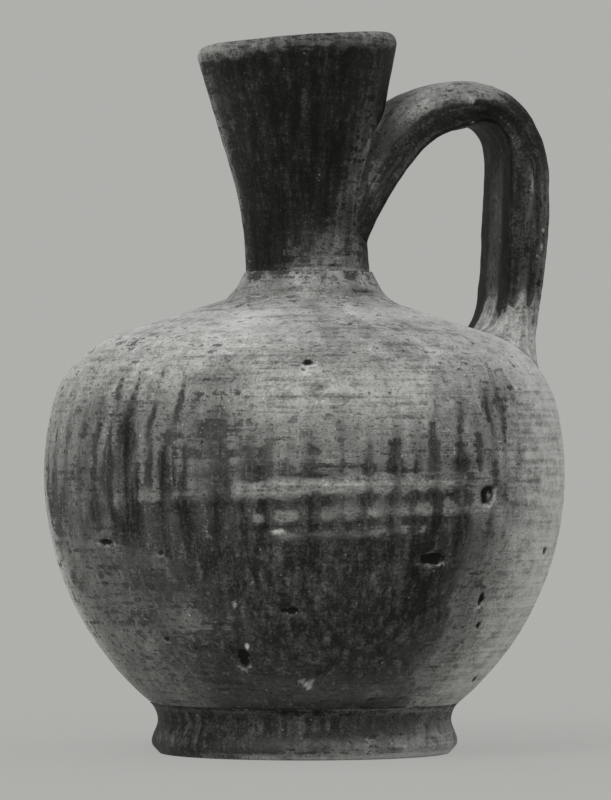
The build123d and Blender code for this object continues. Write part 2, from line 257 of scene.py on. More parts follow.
def body_arcs(pot):
    """The two circles that shape the body: centre and radius of the belly's and of the shoulder's turn."""
    fall = pot.belly_height - pot.base_height
    draw = pot.belly_radius - pot.base_radius
    curve = (fall**2 + draw**2) / (2 * draw)
    belly = (pot.belly_radius - curve, pot.belly_height)
    slope, turn = pot.shoulder_slope, pot.shoulder_turn
    under = (pot.neck_base_radius - sin(slope) * turn, pot.seat_height - cos(slope) * turn)
    gap = (under[0] - belly[0], under[1] - belly[1])
    along = gap[0] * cos(slope) - gap[1] * sin(slope)
    slide = sqrt(along**2 - gap[0] ** 2 - gap[1] ** 2 + (curve - turn) ** 2) - along
    shoulder = (under[0] + cos(slope) * slide, under[1] - sin(slope) * slide)
    return belly, curve, shoulder


def belly_reach(pot, height):
    """The radius of the belly's circle at a height."""
    belly, curve, _ = body_arcs(pot)
    return belly[0] + sqrt(curve**2 - (belly[1] - height) ** 2)


def shoulder_height(pot, radius):
    """The height of the shoulder's surface at a radius, and of the belly's further out."""
    belly, curve, shoulder = body_arcs(pot)
    slope = pot.shoulder_slope
    if radius < shoulder[0] + sin(slope) * pot.shoulder_turn:
        return pot.seat_height - (radius - pot.neck_base_radius) * tan(slope)
    turn_end = on_circle(belly, curve, shoulder)
    if radius < turn_end[0]:
        return shoulder[1] + sqrt(pot.shoulder_turn**2 - (radius - shoulder[0]) ** 2)
    return belly[1] + sqrt(max(curve**2 - (radius - belly[0]) ** 2, 0))


def body_face(pot, pen, inset, hole, outward):
    """Draws one face of the body, between its bottom and the hole under the neck, either way."""
    belly, curve, shoulder = body_arcs(pot)
    curve, turn, slope = curve - inset, pot.shoulder_turn - inset, pot.shoulder_slope
    bottom = pot.base_height + (pot.floor_thickness if inset else 0)
    foot = (belly[0] + sqrt(curve**2 - (belly[1] - bottom) ** 2), bottom)
    widest = (belly[0] + curve, belly[1])
    turn_start = on_circle(belly, curve, shoulder)
    turn_end = (shoulder[0] + sin(slope) * turn, shoulder[1] + cos(slope) * turn)
    rim = (hole, turn_end[1] + (turn_end[0] - hole) * tan(slope))
    if outward:
        pen.line_to(foot)
        pen.arc_to(belly, widest)
        pen.arc_to(belly, turn_start)
        pen.arc_to(shoulder, turn_end)
        pen.line_to(rim)
    else:
        pen.line_to(rim)
        pen.line_to(turn_end)
        pen.arc_to(shoulder, turn_start)
        pen.arc_to(belly, widest)
        pen.arc_to(belly, foot)
        pen.line_to((0, bottom))


# Skins and wear


def spun(points, steps, closed):
    """The skin that an outline sweeps in a full turn about the Z axis, with its seam and poles closed."""
    bm = bmesh.new()
    row = [bm.verts.new((radius, 0, height)) for radius, height in points]
    chain = [bm.edges.new(pair) for pair in zip(row, row[1:] + row[:1] if closed else row[1:])]
    bmesh.ops.spin(
        bm, geom=row + chain, cent=(0, 0, 0), axis=(0, 0, 1), angle=2 * pi, steps=steps, use_merge=True
    )
    bmesh.ops.remove_doubles(bm, verts=bm.verts, dist=WELD)
    bmesh.ops.recalc_face_normals(bm, faces=bm.faces)
    return bm


def rolled(across, along, place):
    """A grid rolled into a closed skin. At steps round and along, place gives a point and its strand."""
    bm = bmesh.new()
    strand = bm.verts.layers.float_vector.new("strand")
    bmesh.ops.create_grid(bm, x_segments=across, y_segments=along, size=0.5)
    for vert in bm.verts:
        turn, step = round((vert.co.x + 0.5) * across), round((vert.co.y + 0.5) * along)
        vert.co, vert[strand] = place(turn % across, step)
    bmesh.ops.remove_doubles(bm, verts=bm.verts, dist=WELD)
    bmesh.ops.holes_fill(bm, edges=bm.edges, sides=0)
    bmesh.ops.recalc_face_normals(bm, faces=bm.faces)
    return bm


def pressed(bm, rule):
    """Moves every point of a skin inward along its normal, by as much as a rule gives."""
    bm.normal_update()
    moves = [(vert, vert.normal * rule(vert.co)) for vert in bm.verts]
    for vert, move in moves:
        vert.co -= move


def cloud(point, grain, octaves=3):
    """Cloudy noise from about -1 to 1, whose lumps are about one grain across."""
    return noise.fractal(point / grain, 1.0, 2.0, octaves)


def lumps(point, grain):
    """The same noise from about 0 to 1, for dents that only go inward."""
    return 0.5 + 0.5 * cloud(point, grain)


def wheel_rings(point, pitch):
    """The ridges that the potter's fingers leave, from about -0.5 to 1.5 and one pitch high."""
    turn = atan2(point.y, point.x)
    return 0.5 + noise.noise(Vector((cos(turn), sin(turn), point.z / pitch)))


def ease(share):
    """A share between 0 and 1, eased at both ends."""
    return share * share * (3 - 2 * share)


def eased(keys, share):
    """A size at a share along, eased between the keys on either side."""
    for (start, low), (end, high) in zip(keys, keys[1:]):
        if share <= end:
            return low + (high - low) * ease(max(share - start, 0) / (end - start))
    return keys[-1][1]


def wrapped(turn):
    """A turn in degrees, brought between -180 and 180."""
    return (turn + 180) % 360 - 180


def turn_of(point):
    """Degrees round the pot from the middle of the front view, to the right."""
    return wrapped(degrees(atan2(point.y, point.x) - FRONT))


# Marks on the body. Each is placed by its turn in degrees and its height in millimetres.

PITS = [
    # turn, height, half width, half height, depth
    (29.0, 55.2, 3.6, 1.7, 1.3),
    (0.8, 107.5, 1.5, 0.8, 0.6),
    (-16.9, 28.7, 1.7, 2.6, 0.8),
    (-3.4, 41.4, 2.4, 0.9, 0.7),
    (-49.6, 59.5, 2.6, 0.8, 0.6),
    (46.8, 44.0, 0.9, 1.9, 0.6),
    (49.6, 36.7, 0.8, 0.8, 0.5),
    (71.1, 56.7, 1.6, 1.0, 0.5),
    (68.4, 21.3, 1.4, 0.9, 0.5),
    (-33.5, 56.8, 1.0, 0.8, 0.4),
    (-38.5, 33.3, 1.0, 0.8, 0.4),
    (150.0, 62.0, 2.2, 1.2, 0.7),
    (-125.0, 44.0, 1.4, 1.8, 0.6),
    (118.0, 96.0, 1.2, 1.0, 0.5),
    (-160.0, 84.0, 1.8, 0.9, 0.5),
]
CRATER = (43.1, 72.0, 2.3, 2.3, 0.7)
# The crater is a ring round a knob: how far from its middle the ring lies and how wide it is, in half sizes
RING, RING_WIDTH = 0.9, 0.45
# How far from its middle a pit reaches, in its half sizes
PIT_REACH = 2.5


def marks_near(point):
    """The placed pits, and the crater, that a point of the body lies near, each with how far off it is."""
    near = []
    for mark in PITS + [CRATER]:
        turn, height, wide, tall, _ = mark
        upward = (point.z / MM - height) / tall
        if abs(upward) < PIT_REACH:
            aside = radians(wrapped(turn_of(point) - turn)) * hypot(point.x, point.y) / MM
            away = hypot(aside / wide, upward)
            if away < PIT_REACH:
                near.append((mark, away))
    return near


def pit_depth(point):
    """How deep the placed pits cut at a point of the body."""
    depth = 0
    for mark, away in marks_near(point):
        shape = ((away - RING) / RING_WIDTH) ** 2 if mark is CRATER else away**3
        depth += mark[-1] * MM * exp(-shape)
    return depth


# Paint. Two values are painted on each point: how light the rubbed clay is, from 0 for char to 1 for
# chalk, and how much slip covers it, from 0 for none to 1 for whole slip.


class Spread:
    """The points of a mesh as arrays: places in metres, turns in degrees, the rest in millimetres."""

    def __init__(self, mesh):
        flat = np.empty(len(mesh.vertices) * 3)
        mesh.vertices.foreach_get("co", flat)
        self.place = flat.reshape(-1, 3)
        self.turn = wrapped(np.degrees(np.arctan2(self.place[:, 1], self.place[:, 0]) - FRONT))
        self.height = self.place[:, 2] / MM
        self.radius = np.hypot(self.place[:, 0], self.place[:, 1]) / MM
        if "strand" in mesh.attributes:
            flow = np.empty(len(mesh.vertices) * 3)
            mesh.attributes["strand"].data.foreach_get("vector", flow)
            self.strand = flow.reshape(-1, 3) / MM

    def cloud(self, grain, octaves=3, shift=0.0):
        """Cloudy noise over the points, with lumps about one grain across."""
        moved = (self.place / (grain * MM) + shift).tolist()
        return np.array([noise.fractal(point, 1.0, 2.0, octaves) for point in moved])

    def aside(self, turn):
        """How far round to the right of a turn each point lies, in millimetres."""
        return np.radians(wrapped(self.turn - turn)) * self.radius

    def blot(self, turn, height, wide, tall):
        """A soft spot: 1 at its middle, easing to nothing."""
        return soft_spot(self.aside(turn), self.height - height, wide, tall)

    def blots(self, table):
        """The sum of a table's soft spots, each by its change."""
        return sum(change * self.blot(*spot) for *spot, change in table)


def soft_spot(aside, ahead, wide, tall):
    """1 at the middle of a spot, easing to nothing over its half sizes."""
    return np.exp(-((aside / wide) ** 2) - (ahead / tall) ** 2)


def rise(values, low, high):
    """Eases from 0 to 1 as values pass from low to high."""
    return ease(np.clip((values - low) / (high - low), 0, 1))


def fall(values, low, high):
    """Eases from 1 to 0 as values pass from low to high."""
    return 1 - rise(values, low, high)


def rises(values, table):
    """The sum of a table's steps: each eases its change in between its low and its high value."""
    return sum(change * rise(values, low, high) for low, high, change in table)


# The rows at turns -92 to -84 are a painted sheen along the body's left edge; those at 64 to 84, along its
# right edge, are partly worn slip and partly painted sheen.
WASHES = [
    # turn, height, half width, half height, change of lightness
    (-84.0, 42.0, 15.0, 28.0, 0.40),
    (-92.0, 80.0, 24.0, 40.0, 0.22),
    (-56.0, 40.0, 24.0, 30.0, 0.06),
    (84.0, 62.0, 26.0, 62.0, 0.34),
    (112.0, 70.0, 26.0, 50.0, 0.10),
    (64.0, 46.0, 22.0, 50.0, 0.18),
    (66.0, 22.0, 14.0, 14.0, 0.06),
    (8.0, 68.0, 40.0, 12.0, 0.08),
    (0.0, 122.0, 24.0, 10.0, 0.05),
    (4.0, 44.0, 26.0, 18.0, -0.05),
    (0.0, 86.0, 24.0, 10.0, 0.07),
    (-46.0, 97.0, 14.0, 7.0, -0.07),
    (44.0, 98.0, 14.0, 9.0, -0.03),
    (-25.0, 35.0, 10.0, 10.0, 0.10),
    (-6.0, 98.0, 16.0, 7.0, 0.07),
    (24.0, 98.0, 16.0, 6.0, 0.09),
    (-50.0, 29.0, 16.0, 6.0, 0.06),
    (24.0, 118.0, 26.0, 7.0, -0.06),
    (4.0, 110.0, 20.0, 6.0, -0.07),
    (-20.0, 116.0, 12.0, 6.0, 0.05),
    (165.0, 70.0, 40.0, 24.0, 0.10),
    (-140.0, 56.0, 22.0, 36.0, 0.12),
    (-116.0, 84.0, 16.0, 14.0, -0.04),
    (138.0, 92.0, 20.0, 16.0, -0.05),
    (-5.0, 131.0, 4.0, 5.0, 0.08),
    (-26.0, 131.0, 5.0, 5.0, -0.14),
    (30.0, 131.0, 12.0, 5.0, -0.08),
]
RUNS = [
    # turn, top, bottom, half width, change of slip cover
    (-46.5, 111.0, 66.0, 1.6, 0.34),
    (-41.5, 110.0, 58.0, 2.7, 0.44),
    (-38.4, 88.0, 64.0, 2.0, 0.30),
    (-34.7, 111.0, 76.0, 1.0, 0.42),
    (-31.0, 94.0, 66.0, 2.2, 0.40),
    (-28.6, 109.0, 90.0, 1.2, 0.32),
    (-26.2, 90.0, 64.0, 1.4, 0.34),
    (-20.5, 103.0, 82.0, 6.0, 0.16),
    (-18.0, 92.0, 64.0, 2.4, 0.34),
    (-12.4, 88.0, 62.0, 2.0, 0.32),
    (-8.7, 86.0, 58.0, 2.0, 0.30),
    (1.2, 92.0, 54.0, 3.2, 0.26),
    (8.2, 97.0, 76.0, 1.2, 0.20),
    (13.2, 92.0, 56.0, 1.6, 0.30),
    (19.2, 101.0, 56.0, 1.7, 0.32),
    (24.3, 98.0, 50.0, 1.5, 0.28),
    (28.8, 104.0, 48.0, 2.2, 0.36),
    (35.5, 104.0, 58.0, 2.6, 0.40),
    (40.5, 100.0, 66.0, 1.4, 0.30),
    (44.6, 106.0, 62.0, 1.6, 0.34),
    (48.7, 104.0, 70.0, 1.6, 0.38),
    (54.0, 105.0, 74.0, 1.8, 0.42),
    (60.0, 102.0, 72.0, 1.6, 0.28),
    (-51.5, 104.0, 66.0, 1.6, 0.22),
    (-57.0, 102.0, 72.0, 2.0, 0.14),
    (-64.0, 98.0, 68.0, 2.6, 0.12),
    (-71.0, 98.0, 60.0, 2.2, 0.15),
    (-77.0, 92.0, 62.0, 2.0, 0.15),
    (27.0, 62.0, 40.0, 5.0, 0.30),
    (96.0, 104.0, 78.0, 1.6, 0.24),
    (101.0, 98.0, 60.0, 2.4, 0.32),
    (106.5, 92.0, 70.0, 0.9, 0.24),
    (115.0, 103.0, 66.0, 1.6, 0.34),
    (119.0, 96.0, 58.0, 2.8, 0.38),
    (122.6, 88.0, 64.0, 1.1, 0.30),
    (128.0, 105.0, 84.0, 1.0, 0.22),
    (136.0, 100.0, 56.0, 3.6, 0.36),
    (141.5, 94.0, 52.0, 1.8, 0.30),
    (146.0, 90.0, 60.0, 1.2, 0.34),
    (157.0, 106.0, 74.0, 1.4, 0.20),
    (163.5, 98.0, 50.0, 2.2, 0.40),
    (167.0, 92.0, 58.0, 1.4, 0.34),
    (170.5, 102.0, 64.0, 3.0, 0.26),
    (178.0, 90.0, 46.0, 1.8, 0.30),
    (-175.0, 96.0, 54.0, 1.2, 0.36),
    (-169.5, 101.0, 72.0, 2.2, 0.24),
    (-158.0, 104.0, 62.0, 1.4, 0.34),
    (-155.0, 98.0, 50.0, 2.6, 0.40),
    (-150.5, 90.0, 60.0, 1.6, 0.32),
    (-143.0, 102.0, 78.0, 1.0, 0.20),
    (-133.0, 104.0, 58.0, 2.4, 0.34),
    (-128.4, 97.0, 66.0, 1.4, 0.30),
    (-118.0, 92.0, 54.0, 1.6, 0.26),
    (-111.0, 104.0, 70.0, 2.8, 0.34),
    (-107.0, 97.0, 80.0, 1.0, 0.28),
    (-96.0, 100.0, 62.0, 1.8, 0.22),
    (-90.0, 94.0, 72.0, 1.2, 0.18),
]
# The rows at turns -88 and 88 strip the slip along the body's left and right edges for the painted sheen
# there.
BLOTS = [
    # turn, height, half width, half height, change of slip cover
    (28.0, 50.0, 9.0, 12.0, 0.40),
    (-34.0, 86.0, 30.0, 11.0, 0.22),
    (-4.0, 84.0, 20.0, 6.0, 0.14),
    (-24.0, 99.0, 8.0, 5.0, 0.14),
    (-88.0, 46.0, 12.0, 34.0, -0.40),
    (-84.0, 78.0, 14.0, 14.0, 0.20),
    (88.0, 66.0, 30.0, 66.0, -0.24),
    (-28.0, 38.0, 11.0, 10.0, -0.38),
    (-10.0, 36.0, 8.0, 5.0, -0.12),
    (33.0, 31.0, 7.0, 10.0, -0.28),
    (-46.0, 78.0, 12.0, 6.0, 0.22),
    (-9.0, 78.0, 6.0, 4.0, 0.24),
    (-50.0, 66.0, 10.0, 6.0, 0.20),
    (52.0, 66.0, 10.0, 6.0, 0.18),
    (50.0, 99.0, 8.0, 6.0, 0.50),
    (-72.0, 68.0, 8.0, 9.0, 0.26),
    (2.0, 18.0, 46.0, 6.0, -0.5),
    (-64.0, 24.0, 20.0, 14.0, -0.12),
    (10.0, 24.0, 26.0, 6.0, -0.10),
    (36.0, 34.0, 8.0, 12.0, -0.14),
    (28.0, 98.0, 20.0, 6.0, -0.10),
    (0.0, 98.0, 14.0, 6.0, -0.20),
    (44.0, 92.0, 9.0, 8.0, 0.10),
    (-32.0, 68.0, 22.0, 9.0, 0.14),
    (46.0, 106.0, 14.0, 5.0, 0.10),
    (20.0, 118.0, 16.0, 5.0, 0.10),
    (8.0, 108.0, 12.0, 4.0, 0.16),
    (-20.0, 101.0, 12.0, 6.0, 0.08),
    (-14.0, 92.0, 7.0, 5.0, 0.16),
    (18.0, 12.0, 40.0, 4.0, 0.16),
    (132.0, 50.0, 26.0, 22.0, 0.30),
    (172.0, 40.0, 22.0, 26.0, 0.24),
    (-156.0, 58.0, 16.0, 14.0, 0.26),
    (-132.0, 38.0, 12.0, 18.0, -0.22),
    (-106.0, 84.0, 18.0, 10.0, 0.14),
    (150.0, 30.0, 14.0, 12.0, -0.20),
    (-170.0, 22.0, 40.0, 8.0, -0.30),
    (120.0, 20.0, 30.0, 8.0, -0.26),
]
WHEEL_BANDS = [
    # height, half height, from turn, to turn, change of slip cover
    (74.6, 2.0, -24.0, 54.0, -0.78),
    (73.6, 1.2, -50.0, -18.0, -0.34),
    (66.6, 1.7, -18.0, 54.0, -0.46),
    (61.6, 1.3, -14.0, 34.0, -0.46),
    (79.2, 0.8, -34.0, 58.0, 0.30),
    (77.4, 0.5, -20.0, 52.0, 0.55),
    (70.6, 1.4, -40.0, 46.0, 0.34),
    (64.2, 0.8, -26.0, 44.0, 0.40),
    (58.8, 1.2, -20.0, 40.0, 0.30),
    (84.6, 0.6, -40.0, 40.0, 0.14),
    (82.6, 0.5, -46.0, 10.0, -0.14),
    (81.0, 1.6, 120.0, 190.0, -0.50),
    (74.6, 0.9, 150.0, 214.0, -0.45),
    (67.4, 1.2, 206.0, 262.0, -0.40),
    (58.0, 0.7, 110.0, 176.0, 0.25),
]
FLECKS = [
    # turn, height, half width, half height, change of lightness
    (-15.2, 31.5, 0.7, 1.0, 0.5),
    (-10.2, 7.8, 0.6, 0.6, 0.4),
    (-16.5, 42.9, 0.6, 0.9, 0.4),
    (-15.2, 39.7, 0.5, 0.7, 0.4),
    (-0.9, 22.0, 0.5, 0.4, 0.4),
    (0.6, 21.0, 0.8, 0.5, 0.35),
    (2.0, 21.8, 0.5, 0.6, 0.4),
    (1.5, 20.1, 0.5, 0.3, 0.4),
    (-18.5, 41.0, 1.2, 7.0, 0.07),
    (-14.0, 37.0, 1.8, 5.0, 0.06),
    (8.9, 12.5, 2.2, 1.6, -0.5),
    (0.6, 105.2, 2.4, 0.7, 0.15),
    (-6.0, 62.6, 2.4, 0.3, 0.35),
    (22.0, 63.4, 2.6, 0.3, 0.4),
    (25.6, 62.4, 0.5, 1.2, 0.4),
    (12.0, 61.0, 2.0, 0.5, 0.25),
]
SMEARS = [
    # right of the axis, height, half length, half width, fall to the right in degrees, change of lightness
    (12.3, 123.3, 5.3, 1.2, 38.0, 0.12),
    (22.1, 116.8, 6.0, 1.0, 22.0, 0.10),
    (18.3, 112.1, 6.5, 0.9, 30.0, 0.09),
    (31.4, 113.5, 6.7, 0.9, 33.0, 0.09),
    (-16.2, 120.0, 8.0, 3.0, -20.0, 0.06),
    (16.0, 118.6, 4.5, 0.9, 24.0, -0.12),
    (28.6, 118.2, 5.5, 0.9, 25.0, -0.10),
    (27.7, 110.2, 4.0, 1.0, 35.0, -0.13),
    (6.2, 116.8, 3.2, 2.6, 50.0, -0.12),
    (2.4, 123.3, 3.0, 1.5, 45.0, -0.10),
    (16.5, 128.2, 4.5, 1.3, 15.0, -0.14),
    (-4.6, 128.9, 2.8, 1.6, 0.0, -0.14),
    (-22.0, 104.2, 7.0, 3.2, -10.0, -0.10),
    (2.9, 100.7, 3.0, 1.0, 20.0, -0.12),
    (35.5, 101.0, 4.0, 1.5, 60.0, -0.12),
]
# Lightness of the bare body by height, where the first steps waver and the others are level
WAVERING_STEPS = [
    # from height, to height, change of lightness
    (76.0, 92.0, 0.07),
    (92.0, 110.0, 0.12),
    (108.0, 122.0, 0.06),
]
LEVEL_STEPS = [(121.0, 127.0, -0.15), (128.0, 131.0, 0.04)]
# Slip cover of the body by height
COVER_STEPS = [(90.0, 106.0, -0.12), (56.0, 92.0, -0.22), (121.0, 126.0, 0.14), (127.0, 131.0, 0.08)]
# The least and the most that the body's slip covers before its runs and pits
COVER_RANGE = (-0.3, 1)


def smeared_paint(points):
    """Slanted strokes on the front of the shoulder, lighter or darker than the clay round them."""
    around = np.radians(points.turn)
    sideways = points.radius * np.sin(around)
    ragged = points.cloud(2.4, 3, 0.25)
    total = np.zeros(len(points.turn))
    for aside, height, long, wide, slant, change in SMEARS:
        right, up = sideways - aside, points.height - height
        cosine, sine = cos(radians(slant)), sin(radians(slant))
        along, across = right * cosine - up * sine, right * sine + up * cosine
        total += change * soft_spot(across + 0.5 * ragged * wide, along, wide, long)
    return total * rise(np.cos(around), 0, 0.3)


def halo(away, middle):
    """1 where a distance in half sizes is that of a ring's middle, easing to nothing on both sides."""
    return np.exp(-(((away - middle) / 0.3) ** 2))


def painted_pit_light(points):
    """Painted shade in the placed pits, and a painted highlight on the lower edge of each: two arrays. The
    crater's painted shade lies on its upper left and its highlight on its lower right.
    """
    pit_shade, pit_highlight = np.zeros(len(points.turn)), np.zeros(len(points.turn))
    crumbled = points.cloud(1.6, 2, 0.6)
    for mark in PITS + [CRATER]:
        turn, height, wide, tall, depth = mark
        across, upward = points.aside(turn) / wide, (points.height - height) / tall
        away = np.hypot(across, upward) * (1 + 0.25 * crumbled)
        if mark is CRATER:
            pit_shade += 0.5 * halo(away, 0.75) * rise(upward - across, -1.2, 0.6)
            pit_highlight += halo(away, 1.15) * rise(across - upward, -0.6, 0.9)
        else:
            pit_shade += 0.8 * depth * np.exp(-(away**4))
            pit_highlight += depth * halo(away, 1.3) * rise(-upward, 0, 1)
    return pit_shade, pit_highlight


def body_light(points):
    """Lightness of the body and the collar where the slip is gone, by height and place, with a painted sheen
    along the body's left and right edges and painted shade and highlights at the pits.
    """
    light = 0.42 + rises(points.height + 3 * points.cloud(22), WAVERING_STEPS)
    light += rises(points.height, LEVEL_STEPS) + points.blots(WASHES + FLECKS) + smeared_paint(points)
    # Painted shade darkens the pits and a painted highlight lightens their lower edges.
    pit_shade, pit_highlight = painted_pit_light(points)
    return light - 1.3 * pit_shade + 0.25 * pit_highlight + 0.03 * points.cloud(14) + 0.05 * points.cloud(5, 3, 0.1)


def banded(points):
    """Change of slip cover by the bands that the wheel left, which tilt and waver round the pot."""
    around = np.radians(points.turn)
    level = points.height - 2.6 * np.sin(around) - 0.4 * np.sin(3 * around)
    total = 0
    for height, tall, start, end, change in WHEEL_BANDS:
        turn = (points.turn - start) % 360
        reach = rise(turn, 0, 14) * fall(turn, end - start - 14, end - start)
        total += change * reach * np.exp(-(((level - height) / tall) ** 2))
    return total * (0.95 + 0.9 * points.cloud(11, 3, 0.35))


def run_down(points):
    """Change of slip cover by its runs: each wavers, widens downwards and has a thin pale rim."""
    total = 0
    for turn, top, bottom, wide, change in RUNS:
        waver = turn + 0.5 * np.sin(points.height / 6 + turn) + 0.3 * np.sin(points.height / 2.3 + turn)
        fallen = np.clip((top - points.height) / (top - bottom), 0, 1)
        swelling = wide * (0.75 + 0.55 * fallen + 0.35 * np.sin(points.height / 4.1 + 2 * turn))
        across = points.aside(waver) / swelling
        stretch = rise(points.height, bottom - 8, bottom + 8) * fall(points.height, top - 14, top + 2)
        patchy = 1.5 + 0.5 * np.sin(points.height / 3.2 + 5 * turn)
        section = 1.4 * np.exp(-(across**2)) - 0.4 * np.exp(-((across / 2.4) ** 2))
        total += change * patchy * stretch * section
    return total


def body_cover(points):
    """How much of the body's slip is left: over 1 where it is thick, as in its runs' cores."""
    ragged = points.turn + 4 * points.cloud(9, 4, 0.5)
    back = rise(np.abs(points.turn), 90, 120)
    shore = points.height + back * (16 * points.cloud(30, 3, 0.2) + 5 * np.sin(points.turn / 7) - 6)
    dipped = rise(ragged, -50, -16) * fall(ragged, 32, 40) + rise(np.abs(ragged), 100, 120)
    # The right side is rubbed thin: partly worn slip and partly painted sheen towards its edge.
    rubbed = rise(ragged, 42, 56) * fall(ragged, 92, 110)
    cover = 0.44 + rises(points.height, COVER_STEPS) + points.blots(BLOTS)
    cover += 0.55 * dipped * fall(shore, 54 - 14 * back, 80 + 8 * back)
    cover -= 0.5 * rubbed * fall(points.height, 92, 106)
    cover += 0.4 * rise(points.height + 3 * points.cloud(5, 4, 0.8), 131, 135)
    cover = np.clip(np.clip(cover, *COVER_RANGE) + banded(points), *COVER_RANGE) + run_down(points)
    # The painted pit shade and highlight also clear the slip, so that they show.
    pit_shade, pit_highlight = painted_pit_light(points)
    for *spot, change in FLECKS:
        cover -= 2.4 * abs(change) * points.blot(*spot)
    return cover - 1.5 * pit_shade - 0.6 * pit_highlight + 0.1 * points.cloud(9, 4, 0.3)


# Marks on the foot ring and on the neck: turn, height, half width, half height, change
FOOT_WASHES = [(-56.0, 6.0, 24.0, 8.0, -0.08), (70.0, 3.0, 30.0, 10.0, 0.24), (18.0, 3.0, 34.0, 4.0, 0.09)]
FOOT_BLOTS = [(-56.0, 4.0, 26.0, 8.0, 0.6), (-10.0, 4.0, 20.0, 4.0, 0.1), (74.0, 6.0, 26.0, 14.0, -0.5)]
# The first row of the neck's washes is a painted sheen down the neck's left edge.
NECK_WASHES = [
    (-84.0, 162.0, 6.0, 60.0, 0.22),
    (-50.0, 184.0, 16.0, 26.0, 0.04),
    (58.0, 166.0, 5.0, 12.0, 0.12),
    (64.0, 144.0, 7.0, 12.0, -0.10),
    (50.0, 142.0, 14.0, 16.0, 0.10),
]
# The first row of these strips the slip for that painted sheen.
NECK_BLOTS = [
    (-82.0, 160.0, 5.0, 60.0, -0.42),
    (-60.0, 178.0, 12.0, 26.0, -0.5),
    (52.0, 180.0, 8.0, 24.0, -0.45),
    (36.0, 141.0, 14.0, 15.0, -0.55),
    (14.0, 138.0, 12.0, 7.0, -0.3),
    (60.0, 164.0, 6.0, 10.0, -0.4),
    (-14.0, 176.0, 20.0, 34.0, 0.2),
    (-30.0, 146.0, 12.0, 14.0, 0.12),
]
# Turns at which the neck's slip is streaked thin
NECK_STREAKS = (-44.0, -28.0, -12.0, 0.1, 12.0, 33.0, 40.0, 48.0, 58.0, 105.0, 140.0, -120.0, -150.0)


def foot_light(points):
    """Lightness over the foot ring: dark in the waist and rubbed at the swell."""
    light = 0.28 + 0.06 * fall(points.height, 2, 7) + 0.18 * fall(points.height, 0.8, 3.0)
    light += 0.12 * fall(points.height, 0.2, 1.8) + points.blots(FOOT_WASHES)
    return light + 0.06 * points.cloud(5) + 0.05 * points.cloud(1.6, 2, 0.2)


def foot_cover(points):
    """The slip left on the foot ring, most in its waist and at its left."""
    cover = 0.34 + 0.4 * rise(points.height, 4.5, 8) - 0.6 * rise(points.height, 11.0, 13.5)
    cover -= 0.36 * fall(points.height, 0.8, 3.0) * rise(points.turn, -60, -10)
    return cover + points.blots(FOOT_BLOTS) + 0.1 * points.cloud(6)


def lip_level(points):
    """Heights as if the mouth were level, in millimetres at the neck's middle."""
    tilt = bpy.context.scene.jug_pot.lip_tilt
    return points.height - points.place[:, 0] / MM * tan(tilt)


def neck_light(points):
    """Lightness of the neck: rubbed at the lip and low on its right, with a painted sheen down its left
    side.
    """
    light = 0.31 + 0.10 * rise(lip_level(points), 193.5, 196.5) + 0.18 * fall(points.height, 131, 138)
    return light + points.blots(NECK_WASHES) + 0.05 * points.cloud(8) + 0.05 * points.cloud(2.4, 3, 0.4)


def neck_cover(points):
    """The slip left on the neck: whole in the middle, thinner aside, in streaks, at the lip and low down,
    and stripped down its left side for a painted sheen.
    """
    ragged = points.cloud(4, 4, 0.7)
    cover = 1.02 + points.blots(NECK_BLOTS) - 0.2 * points.blot(72, 166, 9, 24) * (1 + 1.2 * ragged)
    cover -= 0.75 * rise(lip_level(points) + 1.6 * ragged, 193.0, 196.5)
    cover -= 0.36 * fall(points.height + 3 * ragged, 134, 150) * rise(points.turn, -40, -10)
    cover -= 0.85 * fall(points.height + 1.6 * ragged, 131, 137)
    for turn in NECK_STREAKS:
        cover -= 0.24 * points.blot(turn + 1.5 * np.sin(points.height / 9 + turn), 168, 0.9, 32)
    return cover + 0.16 * points.cloud(10)


# Marks on the strap. Each is placed outward of the strap's line and along it, in millimetres.

CHIPS = [
    # outward, along, half width, half length, change of slip cover
    (1.0, 21.0, 4.0, 8.0, -0.5),
    (-1.0, 68.0, 4.5, 10.0, 0.4),
    (1.0, 58.5, 1.8, 1.6, -0.5),
    (2.4, 63.0, 0.9, 1.2, -0.4),
    (-5.4, 59.5, 0.5, 1.2, -0.8),
    (0.2, 102.5, 0.3, 2.2, -0.7),
    (0.9, 106.5, 0.3, 1.6, -0.9),
    (1.5, 109.5, 0.3, 1.2, -1.1),
    (2.4, 111.4, 0.8, 0.4, -0.9),
    (3.6, 104.0, 0.4, 0.5, -0.9),
    (3.4, 108.6, 0.3, 0.9, -0.7),
    (-0.4, 92.0, 0.7, 5.0, -0.5),
    (0.8, 86.0, 0.5, 2.0, -0.5),
]
# Long marks down the leg's side: outward, half width, change of slip cover
LEG_LINES = [(-1.4, 1.2, -0.5), (-4.0, 1.2, 0.4), (1.2, 0.5, 0.3), (2.8, 0.9, -0.55), (4.9, 0.8, -0.6)]


def handle_chips(points):
    """Change of slip cover by the marks on the strap."""
    _, outward, along = points.strand.T
    return sum(
        change * soft_spot(outward - place, along - middle, wide, tall)
        for place, middle, wide, tall, change in CHIPS
    )


def handle_light(points):
    """Lightness of the handle: over the arch's outer half, partly worn and partly painted light from above,
    and round its foot, where it is rubbed.
    """
    _, outward, along = points.strand.T
    # The arch's outer half is lighter, partly worn and partly painted light from above.
    light = 0.32 + 0.2 * rise(along, 30, 46) * fall(along, 62, 78) * rise(outward, -2, 3)
    light += 0.28 * fall(points.height, 120, 134) - 0.3 * handle_chips(points)
    return light + 0.05 * points.cloud(7) + 0.05 * points.cloud(2.2, 3, 0.4)


